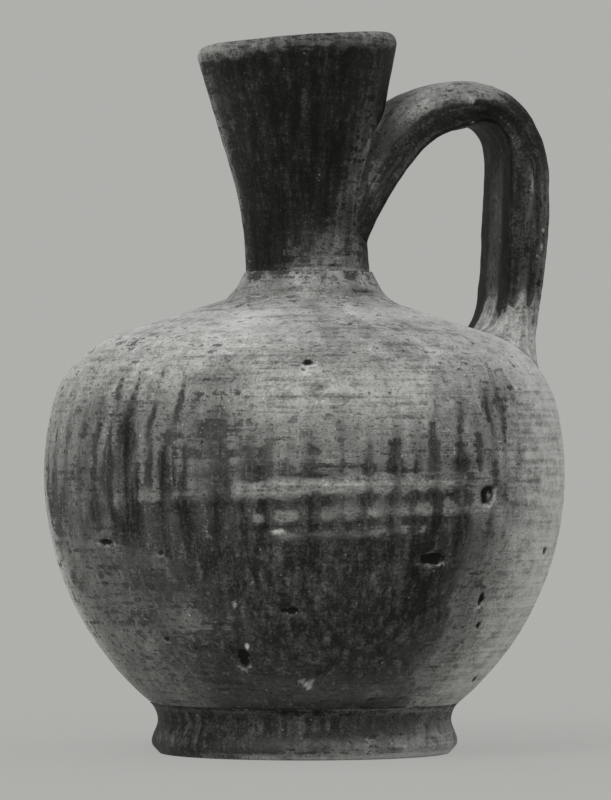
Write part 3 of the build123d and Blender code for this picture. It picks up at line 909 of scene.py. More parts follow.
def handle_cover(points):
    """The slip left on the handle: off the arch's outer half, partly worn and partly painted light from
    above, rubbed off the leg's ridges and the foot, and thickened on the leg's inner face as painted shade.
    """
    across, outward, along = points.strand.T
    ragged = points.cloud(5, 4, 0.9)
    cover = 0.92 - 0.8 * rise(along, 20, 46) * fall(along, 62, 76) * rise(outward + ragged, -0.4, 1.8)
    cover -= (0.1 + 0.16 * rise(along, 78, 92)) * rise(along, 60, 76) * rise(outward, 0, 4)
    leg, inner = rise(along, 76, 92), rise(-outward, 4.2, 5.2)
    strip = fall(across, 2, 6) * fall(-across, 5, 9)
    # Painted shade on the leg's inner face, with a lighter strip along its middle.
    cover += leg * inner * (0.6 - 1.1 * strip)
    for line, wide, change in LEG_LINES:
        cover += change * leg * (1 - inner) * np.exp(-(((outward - line) / wide) ** 2))
    cover += handle_chips(points) * rise(-across, 6, 9)
    # The foot is rubbed bare, but the far side of the inner face keeps its slip as painted shade.
    bare = fall(points.height + 5 * ragged + 1.6 * np.sin(across / 2.2), 118, 131)
    return cover - 1.5 * bare * (1 - inner * rise(across, 1, 7)) + 0.1 * points.cloud(9)


# Shaders


class Wire:
    """A socket of a material's node tree, so that shader sums read as Python sums."""

    def __init__(self, tree, socket=None):
        self.tree = tree
        self.socket = socket

    def node(self, kind, settings=None, inputs=None, output=0):
        """Any node: its settings are set first, then the values and links of its sockets."""
        made = self.tree.nodes.new(kind)
        for name, value in (settings or {}).items():
            if name == "stops":
                lay_stops(made.color_ramp.elements, value)
            else:
                setattr(made, name, value)
        for place, value in (inputs or {}).items():
            if isinstance(value, Wire):
                self.tree.links.new(value.socket, made.inputs[place])
            else:
                made.inputs[place].default_value = value
        return Wire(self.tree, made.outputs[output] if len(made.outputs) else None)

    def maths(self, operation, *values):
        """A Math node on numbers or sockets."""
        return self.node("ShaderNodeMath", {"operation": operation}, dict(enumerate(values)))

    def vectors(self, operation, *values, output="Vector"):
        """A Vector Math node."""
        settings = {"operation": operation}
        return self.node("ShaderNodeVectorMath", settings, dict(enumerate(values)), output)

    def __add__(self, other):
        return self.maths("ADD", self, other)

    def __sub__(self, other):
        return self.maths("SUBTRACT", self, other)

    def __rsub__(self, other):
        return self.maths("SUBTRACT", other, self)

    def __mul__(self, other):
        return self.maths("MULTIPLY", self, other)

    __radd__ = __add__
    __rmul__ = __mul__

    def stepped(self, low, high):
        """Eases from 0 to 1 as the value passes from low to high."""
        inputs = {"Value": self, "From Min": low, "From Max": high}
        return self.node("ShaderNodeMapRange", {"interpolation_type": "SMOOTHSTEP"}, inputs)

    def speckle(self, scale, detail, roughness=0.6):
        """Noise about zero, read at this vector stretched by a scale for each axis."""
        stretched = self.vectors("MULTIPLY", self, scale)
        inputs = {"Vector": stretched, "Scale": 1.0, "Detail": detail, "Roughness": roughness}
        return self.node("ShaderNodeTexNoise", inputs=inputs) - 0.5


def blank(holder):
    """The start of an empty node tree on a new material or world."""
    holder.use_nodes = True
    holder.node_tree.nodes.clear()
    return Wire(holder.node_tree)


def lay_stops(elements, stops):
    """Sets a colour ramp's stops, each a place and a colour."""
    while len(elements) < len(stops):
        elements.new(1.0)
    for element, (place, colour) in zip(elements, stops):
        element.position = place
        element.color = opaque(colour)


def opaque(colour):
    """A colour with its alpha."""
    return (*colour, 1.0)


def per_mm(across, around, up):
    """How many noise lumps there are to a metre along each axis, given the lumps' sizes in mm."""
    return (1 / (across * MM), 1 / (around * MM), 1 / (up * MM))


# How the wheel's strokes and the drips are stretched on thrown clay, and on the pulled strap
THROWN = {"strokes": per_mm(34.0, 34.0, 1.1), "drips": per_mm(2.4, 2.4, 40.0)}
PULLED = {"strokes": per_mm(1.3, 1.3, 26.0), "drips": per_mm(3.0, 3.0, 40.0)}
# How strongly each noise wears the slip, mottles rubbed clay, mottles whole slip and dents the surface
WEAR = {"crumbs": 2.2, "blotches": 1.8, "drips": 1.2, "strokes": 1.3, "grain": 1.4}
RUBBED = {"crumbs": 0.65, "blotches": 0.7, "strokes": 0.6, "grain": 0.65}
WHOLE = {"crumbs": 0.4, "blotches": 0.2, "strokes": 0.14, "drips": 0.7, "grain": 0.5}
TOOTH = {"grain": 0.5, "strokes": 0.4, "crumbs": 0.8}


def clay(name, flow, stretch, slip_tone):
    """Fired clay under worn slip. Strokes and drips follow a flow; the tone is that of whole slip."""
    look = bpy.context.scene.jug_clay
    material = bpy.data.materials.new(name)
    start = blank(material)
    place = start.node("ShaderNodeTexCoord", output="Object")
    path = start.node("ShaderNodeAttribute", {"attribute_name": flow}, output="Vector") if flow else place
    light = start.node("ShaderNodeAttribute", {"attribute_name": "light"}, output="Fac")
    cover = start.node("ShaderNodeAttribute", {"attribute_name": "cover"}, output="Fac")
    noises = {
        "strokes": path.speckle(stretch["strokes"], 3.0),
        "drips": path.speckle(stretch["drips"], 5.0, 0.68),
        "crumbs": place.speckle(per_mm(2.8, 2.8, 2.2), 7.0, 0.78),
        "blotches": place.speckle(per_mm(6.0, 6.0, 4.5), 6.0, 0.68),
        "grain": place.speckle(per_mm(0.8, 0.8, 0.7), 3.0, 0.75),
    }

    def mix(strengths):
        return sum(noises[kind] * strength for kind, strength in strengths.items())

    slip = (cover + mix(WEAR)).stepped(0.25, 0.75)
    rubbed = light + mix(RUBBED)
    whole = mix(WHOLE) + slip_tone - cover.stepped(0.9, 1.4) * 0.07
    flecks = place.speckle(per_mm(1.3, 1.3, 1.3), 1.0).stepped(0.24, 0.3)
    hollows = place.speckle(per_mm(3.2, 3.2, 1.8), 3.0).stepped(-0.29, -0.2)
    tone = rubbed * (1 - slip) + whole * slip + flecks * 0.25 - (1 - hollows) * 0.22
    stops = [(0.0, look.char), (0.15, look.slip), (0.3, look.thin_slip), (0.5, look.clay)]
    stops += [(0.75, look.bloom), (1.0, look.chalk)]
    colour = start.node("ShaderNodeValToRGB", {"stops": stops}, {0: tone})
    relief = {"Height": mix(TOOTH) - slip * 0.1 + hollows * 0.3, "Strength": 0.7, "Distance": look.tooth}
    bump = start.node("ShaderNodeBump", inputs=relief)
    surface = {"Base Color": colour, "Roughness": look.roughness, "Normal": bump, "Specular IOR Level": 0.2}
    skin = start.node("ShaderNodeBsdfPrincipled", inputs=surface)
    start.node("ShaderNodeOutputMaterial", inputs={"Surface": skin})
    return material


# Finished pieces

# The least and the most of both painted values
PAINT_RANGE = (-0.5, 1.5)


def placed(name, bm, material):
    """Makes a mesh an object of the scene, in its material."""
    mesh = bpy.data.meshes.new(name)
    bm.to_mesh(mesh)
    bm.free()
    mesh.materials.append(material)
    thing = bpy.data.objects.new(name, mesh)
    bpy.context.scene.collection.objects.link(thing)
    return thing


def finished(name, bm, nodes, material, light, cover):
    """Places the mesh of a piece, smooth and painted, on the frame in place of its nodes."""
    piece = placed(name, bm, material)
    piece.data.shade_smooth()
    points = Spread(piece.data)
    for paint, rule in (("light", light), ("cover", cover)):
        values = np.clip(rule(points), *PAINT_RANGE).astype(np.float32)
        piece.data.attributes.new(paint, "FLOAT", "POINT").data.foreach_set("value", values)
    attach(piece, "root")
    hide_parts(*nodes)


# How far the hole under the neck lies inside the neck's foot, as a share of the neck's wall
HOLE_INSET = 0.7


class JUG_OT_body(bpy.types.Operator):
    """Model the thrown body: belly, shoulder, hollow and floor"""

    bl_idname = "jug.body"
    bl_label = "Body"

    def execute(self, context):
        pot = context.scene.jug_pot
        steps, fine, coarse = BODY_STEPS
        hole = pot.neck_base_radius - pot.neck_wall * HOLE_INSET
        pen = Pen((0, pot.base_height), fine)
        body_face(pot, pen, 0, hole, outward=True)
        pen.step = coarse
        body_face(pot, pen, pot.body_wall, hole, outward=False)
        bm = spun(pen.points, steps, closed=False)
        pitted = {vert for vert in bm.verts if marks_near(vert.co)}
        marked = [edge for edge in bm.edges if pitted.issuperset(edge.verts)]
        bmesh.ops.subdivide_edges(bm, edges=marked, cuts=2, use_grid_fill=True)

        def wear(point):
            if hypot(point.x, point.y) < hole or pot.base_height + WELD > point.z:
                return 0
            dents = 0.32 * lumps(point, 26 * MM) + 0.10 * wheel_rings(point, 2.6 * MM)
            return dents * MM + pit_depth(point)

        pressed(bm, wear)
        material = clay("belly clay", None, THROWN, 0.21)
        finished("jug_body", bm, ["body"], material, body_light, body_cover)
        return {"FINISHED"}


class JUG_OT_foot(bpy.types.Operator):
    """Model the low flared foot ring"""

    bl_idname = "jug.foot"
    bl_label = "Foot ring"

    def execute(self, context):
        pot = context.scene.jug_pot
        steps, fine = FOOT_STEPS
        meeting = belly_reach(pot, pot.foot_top_height)
        rest_outer = meeting - pot.foot_swell_inset - pot.foot_rest_inset
        rest_inner = rest_outer - pot.foot_rest_width
        swell = (meeting - pot.foot_swell_inset, pot.foot_swell_height)
        waist = (meeting - pot.foot_waist_inset, pot.foot_waist_height)
        top = (meeting, pot.foot_top_height)
        inner = meeting - pot.foot_width
        pen = Pen((rest_outer, 0), fine)
        pen.curve_to(swell, unit(1, 1), unit(0, 1))
        pen.curve_to(waist, unit(0, 1), unit(0, 1))
        pen.curve_to(top, unit(0, 1), unit(1, 1))
        pen.line_to((inner, pot.foot_top_height))
        pen.line_to((inner, pot.foot_inner_round))
        pen.line_to((rest_inner, 0))
        pen.line_to((rest_outer - pen.step, 0))
        bm = spun(pen.points, steps, closed=True)

        def wear(point):
            off_the_floor = min(max(point.z / (1.2 * MM), 0), 1)
            return 0.35 * MM * lumps(point, 12 * MM) * off_the_floor

        pressed(bm, wear)
        material = clay("foot clay", None, THROWN, 0.2)
        finished("jug_foot", bm, ["foot_ring"], material, foot_light, foot_cover)
        return {"FINISHED"}


# How far below the mouth the lip begins to round over, as a share of the neck's wall
LIP_ROUND = 0.72
# Points over the round of the lip
LIP_STEPS = 12
# How far the neck's foot sinks into the shoulder, as a share of the body's wall
NECK_SINK = 0.7
# The share of the neck's height from which it tilts with the mouth
TILT_FROM = 0.62
# The share of the neck's height from which the lip is dented more
DENTED_FROM = 0.9


def neck_arcs(pot):
    """The neck's flare: centre of its long curve, angle at which it runs straight, and its foot's curve."""
    centre = (pot.neck_waist_radius + pot.neck_curve, pot.neck_waist_rise)
    away = hypot(pot.lip_radius - centre[0], pot.lip_rise - centre[1])
    bearing = atan2(pot.lip_rise - centre[1], centre[0] - pot.lip_radius)
    flare = bearing - atan2(sqrt(away**2 - pot.neck_curve**2), pot.neck_curve)
    draw = pot.neck_base_radius - pot.neck_waist_radius
    return centre, flare, (pot.neck_waist_rise**2 + draw**2) / (2 * draw)


def neck_radius(pot, climb):
    """The outer radius of the neck at a rise above its seat."""
    centre, flare, foot_curve = neck_arcs(pot)
    if climb < pot.neck_waist_rise:
        return pot.neck_waist_radius + foot_curve - sqrt(foot_curve**2 - (pot.neck_waist_rise - climb) ** 2)
    leave = centre[1] + pot.neck_curve * sin(flare)
    if climb < leave:
        return centre[0] - sqrt(pot.neck_curve**2 - (climb - centre[1]) ** 2)
    return centre[0] - pot.neck_curve * cos(flare) + (climb - leave) * tan(flare)


def neck_place(pot):
    """Where the neck stands, leaning away from the handle."""
    return Matrix.Translation((pot.neck_shift, 0, pot.seat_height)) @ Matrix.Rotation(-pot.neck_lean, 4, "Y")


def neck_half(pot, pen, inset, upward):
    """Draws one face of the neck between its sunk foot and its lip, either way."""
    centre, flare, foot_curve = neck_arcs(pot)
    curve, foot_curve = pot.neck_curve + inset, foot_curve + inset
    waist = (pot.neck_waist_radius - inset, pot.neck_waist_rise)
    foot_centre = (waist[0] + foot_curve, pot.neck_waist_rise)
    foot = (foot_centre[0] - sqrt(foot_curve**2 - pot.neck_waist_rise**2), 0)
    leave = (centre[0] - curve * cos(flare), centre[1] + curve * sin(flare))
    brow = pot.lip_rise - LIP_ROUND * pot.neck_wall
    lip = (leave[0] + (brow - leave[1]) * tan(flare), brow)
    sunk = (foot[0], -NECK_SINK * pot.body_wall)
    if upward:
        pen.line_to(foot)
        pen.arc_to(foot_centre, waist)
        pen.arc_to(centre, leave)
        pen.line_to(lip)
    else:
        pen.line_to(leave)
        pen.arc_to(centre, waist)
        pen.arc_to(foot_centre, foot)
        pen.line_to(sunk)
    return sunk, lip


class JUG_OT_neck(bpy.types.Operator):
    """Model the leaning neck with its rounded, tilted lip"""

    bl_idname = "jug.neck"
    bl_label = "Neck"

    def execute(self, context):
        pot = context.scene.jug_pot
        steps, fine, coarse = NECK_STEPS
        tilt = pot.lip_tilt - pot.neck_lean
        sunk, _ = neck_half(pot, Pen((0, 0), 1), 0, upward=True)
        _, inner_lip = neck_half(pot, Pen((0, 0), 1), pot.neck_wall, upward=False)
        pen = Pen(sunk, fine)
        neck_half(pot, pen, 0, upward=True)
        outer_lip = pen.points[-1]
        middle, half = (outer_lip[0] + inner_lip[0]) / 2, (outer_lip[0] - inner_lip[0]) / 2
        height = pot.lip_rise - outer_lip[1]
        for index in range(1, LIP_STEPS + 1):
            bearing = pi * index / LIP_STEPS
            pen.points.append((middle + half * cos(bearing), outer_lip[1] + height * sin(bearing)))
        pen.step = coarse
        neck_half(pot, pen, pot.neck_wall, upward=False)
        bm = spun(pen.points, steps, closed=True)

        def share_from(start, height):
            return min(max((height / pot.lip_rise - start) / (1 - start), 0), 1)

        def wear(point):
            depth = 0.24 + 0.3 * share_from(DENTED_FROM, point.z)
            return (depth * lumps(point, 14 * MM) + 0.09 * wheel_rings(point, 3.2 * MM)) * MM

        pressed(bm, wear)
        for vert in bm.verts:
            vert.co.z += vert.co.x * tan(tilt) * ease(share_from(TILT_FROM, vert.co.z))
        bmesh.ops.transform(bm, matrix=neck_place(pot), verts=bm.verts)
        material = clay("neck clay", None, THROWN, 0.085)
        finished("jug_neck", bm, ["neck"], material, neck_light, neck_cover)
        return {"FINISHED"}


# How far the collar's edge sinks under the shoulder's face
COLLAR_EDGE = 0.45 * MM
# How deep the collar reaches into the neck and into the body, as shares of their walls
COLLAR_REACH = (0.6, 0.3)
# How steeply the collar's face runs up the neck, against a straight face
COLLAR_FLICK = 1.6


class JUG_OT_collar(bpy.types.Operator):
    """Model the cone of clay pressed round the foot of the neck"""

    bl_idname = "jug.collar"
    bl_label = "Collar"

    def execute(self, context):
        pot = context.scene.jug_pot
        steps, fine = COLLAR_STEPS
        slope = pot.shoulder_slope
        drop = (pot.collar_radius - pot.neck_base_radius) * tan(slope)
        inward, downward = COLLAR_REACH
        low = (pot.collar_radius, pot.seat_height - drop - COLLAR_EDGE)
        high = (pot.neck_base_radius, pot.seat_height + pot.collar_rise)
        under = (pot.neck_base_radius - inward * pot.neck_wall, low[1] - downward * pot.body_wall)
        run = unit(high[0] - low[0], high[1] - low[1])
        pen = Pen(low, fine)
        pen.curve_to(high, unit(-cos(slope), sin(slope)), unit(run[0], run[1] * COLLAR_FLICK))
        pen.line_to((under[0], high[1] - 0.2 * MM))
        pen.line_to(under)
        pen.line_to((low[0] - pen.step, under[1]))
        bm = spun(pen.points, steps, closed=True)
        bmesh.ops.translate(bm, vec=(pot.neck_shift, 0, 0), verts=bm.verts)

        def wear(point):
            return 0.15 * MM + 0.25 * MM * cloud(point, 5 * MM)

        pressed(bm, wear)
        material = clay("collar clay", None, THROWN, 0.2)
        finished("jug_collar", bm, ["neck_collar"], material, body_light, body_cover)
        return {"FINISHED"}


# Handle


class StrapLine:
    """The line that the middle of the strap follows: straight stretches and arcs, end to end."""

    def __init__(self, pot, strap):
        reach = pot.belly_radius - strap.inset
        reach -= strap.bend_curve * (1 - sin(strap.crown_slope)) + strap.crown_curve * sin(strap.crown_slope)
        root = pot.neck_shift + pot.neck_waist_radius + strap.root_stand
        rise_curve = (reach - root) / sin(strap.rise_slope)
        drop = rise_curve * (1 - cos(strap.rise_slope))
        drop += strap.tail_curve * (cos(strap.rise_slope) - cos(strap.tail_slope))
        lead = strap.tail_curve * (sin(strap.tail_slope) - sin(strap.rise_slope))
        height = pot.seat_height + strap.arch_rise - drop
        slope = strap.tail_slope
        start = (root - lead - strap.tail_length * cos(slope), height - strap.tail_length * sin(slope))
        turns = [
            (strap.tail_curve, strap.tail_slope - strap.rise_slope),
            (rise_curve, strap.rise_slope),
            (strap.crown_curve, strap.crown_slope),
            (strap.bend_curve, pi / 2 - strap.crown_slope),
            (strap.leg_curve, strap.leg_turn),
        ]
        stretches = [(strap.tail_length, 0)] + [(radius * bend, bend) for radius, bend in turns]
        self.parts = []
        for span, bend in stretches:
            self.parts.append((start, slope, span, bend))
            start, slope = self.moved(start, slope, span, bend)
        self.parts.append((start, slope, start[1] - pot.belly_height, 0))
        self.length = sum(part[2] for part in self.parts)

    @staticmethod
    def moved(start, slope, span, bend):
        """Where a stretch gets to and its slope there: an arc's chord leaves at half of its bend."""
        chord = span * sin(bend / 2) / (bend / 2) if bend else span
        middle = slope - bend / 2
        return (start[0] + chord * cos(middle), start[1] + chord * sin(middle)), slope - bend

    def at(self, share):
        """The point and the slope at a share of the line's length."""
        left = share * self.length
        for start, slope, span, bend in self.parts:
            if left <= span or (start, slope, span, bend) == self.parts[-1]:
                return self.moved(start, slope, left, bend * left / span)
            left -= span


# Counts of points round a slice of strap (its back, an edge, a side and its inner face), and of slices
BACK, EDGE, SIDE, INSIDE = 26, 7, 9, 20
ROUND_STRAP = BACK + 4 * EDGE + 2 * SIDE + INSIDE
ALONG_STRAP = 340
# Shares of the strap's line between which it leaves the neck, and meets the shoulder
ROOT_SHARES = (0.04, 0.36)
FOOT_SHARES = (0.6, 1.0)
# How far the strap goes on under the shoulder, as a share of its line
BURIED = 0.06
# How deep the strap's ends lie in the walls that they grow from, as a share of the wall
BED = 0.55
# How often the place at which a strand meets a face is halved
HALVINGS = 18
# How deep the thin edges of the smeared clay lie under the faces that they run out on
FEATHER = 0.5 * MM
# Steps over the open face of the smeared clay
SMEAR_STEPS = 16


def bowed(start, end, bulge, count):
    """Points after a start up to an end, bulging to the right of the way by as much as given."""
    way = (end[0] - start[0], end[1] - start[1])
    right = unit(way[1], -way[0])
    points = []
    for index in range(1, count + 1):
        share = index / count
        out = bulge * 4 * share * (1 - share)
        points.append(tuple(s + w * share + r * out for s, w, r in zip(start, way, right)))
    return points


def cornered(centre, radius, start, count):
    """Points after the start of a quarter turn clockwise about a centre."""
    points = []
    for index in range(1, count + 1):
        bearing = start - pi / 2 * index / count
        points.append((centre[0] + radius * cos(bearing), centre[1] + radius * sin(bearing)))
    return points


def strap_slice(strap, share):
    """A slice of the strap, clockwise from the left end of its hollow back: across and outward."""
    half = eased(
        [(0, strap.tail_width), (0.2, strap.root_width), (0.4, strap.arch_width)]
        + [(0.6, strap.leg_width), (0.9, strap.end_width)],
        share,
    ) / 2
    outer = eased(
        [(0, strap.tail_thickness), (0.2, strap.root_thickness), (0.38, strap.arch_thickness)]
        + [(0.58, strap.leg_thickness), (0.8, strap.end_thickness)],
        share,
    ) / 2
    inner = outer - eased([(0.33, 0), (0.41, strap.crook_depth), (0.52, 0)], share)
    corner = strap.edge_round
    flat = half - corner
    points = bowed((-flat, outer), (flat, outer), -strap.groove, BACK)
    points += cornered((flat, outer - corner), corner, pi / 2, EDGE)
    points += bowed((half, outer - corner), (half, corner - inner), -strap.side_swell, SIDE)
    points += cornered((flat, corner - inner), corner, 0, EDGE)
    points += bowed((flat, -inner), (-flat, -inner), -strap.under_swell, INSIDE)
    points += cornered((-flat, corner - inner), corner, -pi / 2, EDGE)
    points += bowed((-half, corner - inner), (-half, outer - corner), -strap.side_swell, SIDE)
    points += cornered((-flat, outer - corner), corner, pi, EDGE)
    return points


class Strap:
    """The strap as a skin: points by their step round a slice and their share along the line."""

    def __init__(self, context):
        self.pot = context.scene.jug_pot
        self.sizes = context.scene.jug_strap
        self.line = StrapLine(self.pot, self.sizes)
        self.upright = neck_place(self.pot).inverted()
        self.slices = {}

    def slice_at(self, share):
        """A slice at a share along, worked out once."""
        if share not in self.slices:
            self.slices[share] = strap_slice(self.sizes, share)
        return self.slices[share]

    def set_out(self, share, across, outward):
        """The point of space at a share along, so far across and outward of the line."""
        (x, z), slope = self.line.at(share)
        return Vector((x - sin(slope) * outward, across, z + cos(slope) * outward))

    def point(self, turn, share):
        """A point of the skin."""
        return self.set_out(share, *self.slice_at(share)[turn % ROUND_STRAP])

    def strand(self, turn, share):
        """The flow of the pulled clay at a point: across, outward and along."""
        across, outward = self.slice_at(share)[turn % ROUND_STRAP]
        return Vector((across, outward, share * self.line.length))

    def bearing(self, turn, share):
        """Which way the skin faces in its slice: across and outward."""
        ring = self.slice_at(share)
        before, after = ring[turn - 1], ring[(turn + 1) % ROUND_STRAP]
        return unit(before[1] - after[1], after[0] - before[0])

    def off_skin(self, turn, share, faced, distance):
        """A point at a distance off the skin, the way that the skin faces at another share."""
        ring, (across, outward) = self.slice_at(share)[turn], self.bearing(turn, faced)
        return self.set_out(share, ring[0] + across * distance, ring[1] + outward * distance)

    def under_neck(self, point):
        """How deep a point lies under the neck's outer face."""
        local = self.upright @ point
        return neck_radius(self.pot, local.z) - hypot(local.x, local.y)

    def under_shoulder(self, point):
        """How deep a point lies under the body's outer face, measured straight down."""
        return shoulder_height(self.pot, hypot(point.x, point.y)) - point.z

    def on_neck(self, point, depth=0.0):
        """The point brought level to a depth under the neck's face."""
        local = self.upright @ point
        scale = (neck_radius(self.pot, local.z) - depth) / hypot(local.x, local.y)
        return self.upright.inverted() @ Vector((local.x * scale, local.y * scale, local.z))

    def on_shoulder(self, point, depth=0.0):
        """The point brought straight down or up to a depth under the body's face."""
        return Vector((point.x, point.y, shoulder_height(self.pot, hypot(point.x, point.y)) - depth))

    def bedded(self, point):
        """The point, held back to a small depth inside the walls of neck and body."""
        depth = BED * self.pot.body_wall
        if point.z < self.pot.seat_height and self.under_shoulder(point) > depth:
            return self.on_shoulder(point, depth)
        if self.under_neck(point) > depth:
            return self.on_neck(point, depth)
        return point

    def crossing(self, turn, inside, low, high):
        """The share along at which a strand passes through a neighbour's face, found by halving."""
        beyond = inside(self.point(turn, high)) > 0
        for _ in range(HALVINGS):
            middle = (low + high) / 2
            if (inside(self.point(turn, middle)) > 0) == beyond:
                high = middle
            else:
                low = middle
        return high


def smeared(strap, onto, inside, climb, spread, shares):
    """Clay smeared into the angle between the strap and a neighbour, hollow-faced and thin-edged."""
    reach = climb / strap.line.length
    rows = []
    for turn in range(ROUND_STRAP):
        meet = strap.crossing(turn, inside, *shares)
        _, outward = strap.bearing(turn, meet)
        back = meet + reach * (1 + max(-outward, 0)) if onto == strap.on_neck else meet - reach
        width = spread(*strap.bearing(turn, meet))
        corner = strap.point(turn, meet)
        edge = onto(strap.off_skin(turn, meet, meet, width), FEATHER)
        tip = strap.off_skin(turn, back, meet, -FEATHER)
        profile = []
        for index in range(SMEAR_STEPS + 1):
            t = index / SMEAR_STEPS
            profile.append(tip * (1 - t) ** 2 + corner * 2 * t * (1 - t) + edge * t * t)
        root = onto(strap.off_skin(turn, meet, meet, -0.3 * width), 3 * FEATHER)
        profile += [edge.lerp(root, 0.6), root, root.lerp(tip, 0.5)]
        rows.append((profile, strap.strand(turn, meet)))
    along = len(rows[0][0])

    def place(turn, step):
        profile, strand = rows[turn]
        return profile[step % along], strand + Vector((0, 0, step * 0.5 * MM))

    return rolled(ROUND_STRAP, along, place)


class JUG_OT_handle(bpy.types.Operator):
    """Model the pulled strap handle with its hollow back"""

    bl_idname = "jug.handle"
    bl_label = "Handle"

    def execute(self, context):
        strap = Strap(context)
        last = strap.crossing(0, strap.under_shoulder, *FOOT_SHARES) + BURIED

        def place(turn, step):
            share = round(last * step / ALONG_STRAP, 6)
            return strap.bedded(strap.point(turn, share)), strap.strand(turn, share)

        bm = rolled(ROUND_STRAP, ALONG_STRAP, place)

        def wear(point):
            return (0.45 * lumps(point, 11 * MM) + 0.12 * cloud(point, 3.5 * MM, 2)) * MM

        pressed(bm, wear)
        material = clay("handle clay", "strand", PULLED, 0.15)
        finished("jug_handle", bm, ["handle"], material, handle_light, handle_cover)
        return {"FINISHED"}


class JUG_OT_luting(bpy.types.Operator):
    """Model the clay smeared round both roots of the handle"""

    bl_idname = "jug.luting"
    bl_label = "Luting"

    def execute(self, context):
        strap = Strap(context)
        sizes = strap.sizes

        def root_spread(across, outward):
            return sizes.root_spread * (across**2 + 1.9 * max(-outward, 0) ** 2) + FEATHER

        def foot_spread(across, outward):
            below = 1.0 if outward < 0 else 0.5
            return sizes.foot_spread * (0.9 * across**2 + below * outward**2)

        def wear(point):
            return 0.12 * MM * (1 + cloud(point, 5 * MM))

        roots = [
            ("jug_root_luting", "slipped_clay", "handle_upper_luting", strap.on_neck, strap.under_neck)
            + (sizes.root_climb, root_spread, ROOT_SHARES),
            ("jug_foot_luting", "worn_clay", "handle_lower_luting", strap.on_shoulder, strap.under_shoulder)
            + (sizes.foot_climb, foot_spread, FOOT_SHARES),
        ]
        for name, slot, node, onto, inside, climb, spread, shares in roots:
            bm = smeared(strap, onto, inside, climb, spread, shares)
            pressed(bm, wear)
            material = clay(f"{name} clay", "strand", PULLED, 0.15)
            finished(name, bm, [node], material, handle_light, handle_cover)
        return {"FINISHED"}


# Stage

# How much of the backdrop's glow is mixed into the floor by the jug, and over what distances it rises
FLOOR_GLOW = 0.8
GLOW_FROM, GLOW_TO = 0.05, 0.35
# The soft lamp's width, its place and the place that it faces
LAMP_WIDTH = 1.6
LAMP_PLACE = (-1.5, -1.3, 1.7)
LAMP_AIM = (0, 0, 0.1)


def seen(start):
    """Whether a ray comes from the camera or from a glossy or clear surface: 1 or 0."""
    kinds = ("Camera", "Glossy", "Transmission")
    camera, glossy, clear = (start.node("ShaderNodeLightPath", output=f"Is {kind} Ray") for kind in kinds)
    return start.maths("MAXIMUM", start.maths("MAXIMUM", camera, glossy), clear)


def lay_floor(stage):
    """A round floor that takes the jug's shadow and fades into the backdrop away from it."""
    material = bpy.data.materials.new("floor paper")
    start = blank(material)
    place = start.node("ShaderNodeTexCoord", output="Object")
    away = place.vectors("LENGTH", place, output="Value")
    paper = start.node("ShaderNodeBsdfDiffuse", inputs={"Color": opaque(stage.floor_colour)})
    haze = start.node("ShaderNodeEmission", inputs={"Color": opaque(stage.backdrop), "Strength": 1.0})
    fade = (away.stepped(GLOW_FROM, GLOW_TO) * (1 - FLOOR_GLOW) + FLOOR_GLOW) * seen(start)
    both = start.node("ShaderNodeMixShader", inputs={0: fade, 1: paper, 2: haze})
    start.node("ShaderNodeOutputMaterial", inputs={"Surface": both})
    bm = bmesh.new()
    bmesh.ops.create_circle(bm, cap_ends=True, segments=128, radius=stage.floor_radius)
    placed("floor", bm, material)


def light_world(scene, stage):
    """Even light from all round, with the backdrop's grey where it is seen."""
    scene.world = bpy.data.worlds.new("studio")
    start = blank(scene.world)
    soft = start.node("ShaderNodeBackground", inputs={"Color": (1, 1, 1, 1), "Strength": stage.sky})
    plain = start.node("ShaderNodeBackground", inputs={"Color": opaque(stage.backdrop), "Strength": 1.0})
    both = start.node("ShaderNodeMixShader", inputs={0: seen(start), 1: soft, 2: plain})
    start.node("ShaderNodeOutputWorld", inputs={"Surface": both})


def facing(place, target):
    """The turn of a lamp or camera at a place that looks at a target."""
    return (Vector(target) - Vector(place)).to_track_quat("-Z", "Y").to_euler()


def hang_key(scene, stage):
    """One large soft lamp, high on the left of the camera."""
    lamp = bpy.data.lights.new("key", "AREA")
    lamp.shape = "DISK"
    lamp.size = LAMP_WIDTH
    lamp.energy = stage.key
    key = bpy.data.objects.new("key", lamp)
    key.location = LAMP_PLACE
    key.rotation_euler = facing(LAMP_PLACE, LAMP_AIM)
    scene.collection.objects.link(key)


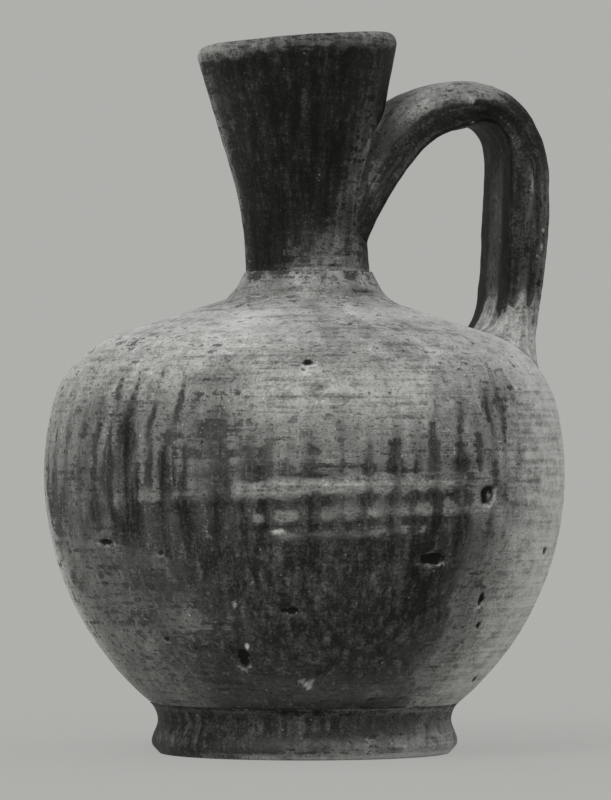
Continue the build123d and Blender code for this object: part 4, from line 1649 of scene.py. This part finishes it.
def stand_camera(scene, stage):
    """The long lens of the front view."""
    bearing = Vector((cos(FRONT), sin(FRONT), 0))
    side = Vector((-sin(FRONT), cos(FRONT), 0))
    camera = bpy.data.objects.new("camera", bpy.data.cameras.new("camera"))
    camera.data.lens = stage.lens
    camera.location = bearing * stage.camera_away + Vector((0, 0, stage.camera_height))
    aim = side * stage.aim_side + Vector((0, 0, stage.aim_height))
    camera.rotation_euler = facing(camera.location, aim)
    scene.collection.objects.link(camera)
    scene.camera = camera


class JUG_OT_stage(bpy.types.Operator):
    """Set up the floor, the backdrop, the soft light and the camera"""

    bl_idname = "jug.stage"
    bl_label = "Stage"

    def execute(self, context):
        stage = context.scene.jug_stage
        lay_floor(stage)
        light_world(context.scene, stage)
        hang_key(context.scene, stage)
        stand_camera(context.scene, stage)
        context.scene.view_settings.view_transform = "Standard"
        return {"FINISHED"}


class JUG_PT_panel(bpy.types.Panel):
    """Lists the jug's pieces and its stage"""

    bl_label = "Jug"
    bl_idname = "JUG_PT_panel"
    bl_space_type = "VIEW_3D"
    bl_region_type = "UI"
    bl_category = "Jug"

    def draw(self, context):
        for operator in OPERATORS:
            self.layout.operator(operator.bl_idname)
        for group in GROUPS:
            settings = getattr(context.scene, group)
            box = self.layout.box()
            for name in settings.bl_rna.properties.keys():
                if name not in ("rna_type", "name"):
                    box.prop(settings, name)


OPERATORS = [
    JUG_OT_body,
    JUG_OT_foot,
    JUG_OT_neck,
    JUG_OT_collar,
    JUG_OT_handle,
    JUG_OT_luting,
    JUG_OT_stage,
]
GROUPS = {"jug_pot": JugPot, "jug_strap": JugStrap, "jug_clay": JugClay, "jug_stage": JugStage}


def register():
    """Registers the sizes, the operators and the panel."""
    for group in GROUPS.values():
        bpy.utils.register_class(group)
    for name, group in GROUPS.items():
        setattr(bpy.types.Scene, name, PointerProperty(type=group))
    for kind in [*OPERATORS, JUG_PT_panel]:
        bpy.utils.register_class(kind)


def unregister():
    """Takes them all away again."""
    for kind in [JUG_PT_panel, *reversed(OPERATORS)]:
        bpy.utils.unregister_class(kind)
    for name, group in GROUPS.items():
        delattr(bpy.types.Scene, name)
        bpy.utils.unregister_class(group)


def main():
    """Builds the jug and its stage."""
    register()
    bpy.ops.jug.body()
    bpy.ops.jug.foot()
    bpy.ops.jug.neck()
    bpy.ops.jug.collar()
    bpy.ops.jug.handle()
    bpy.ops.jug.luting()
    bpy.ops.jug.stage()


if __name__ == "__main__":
    main()
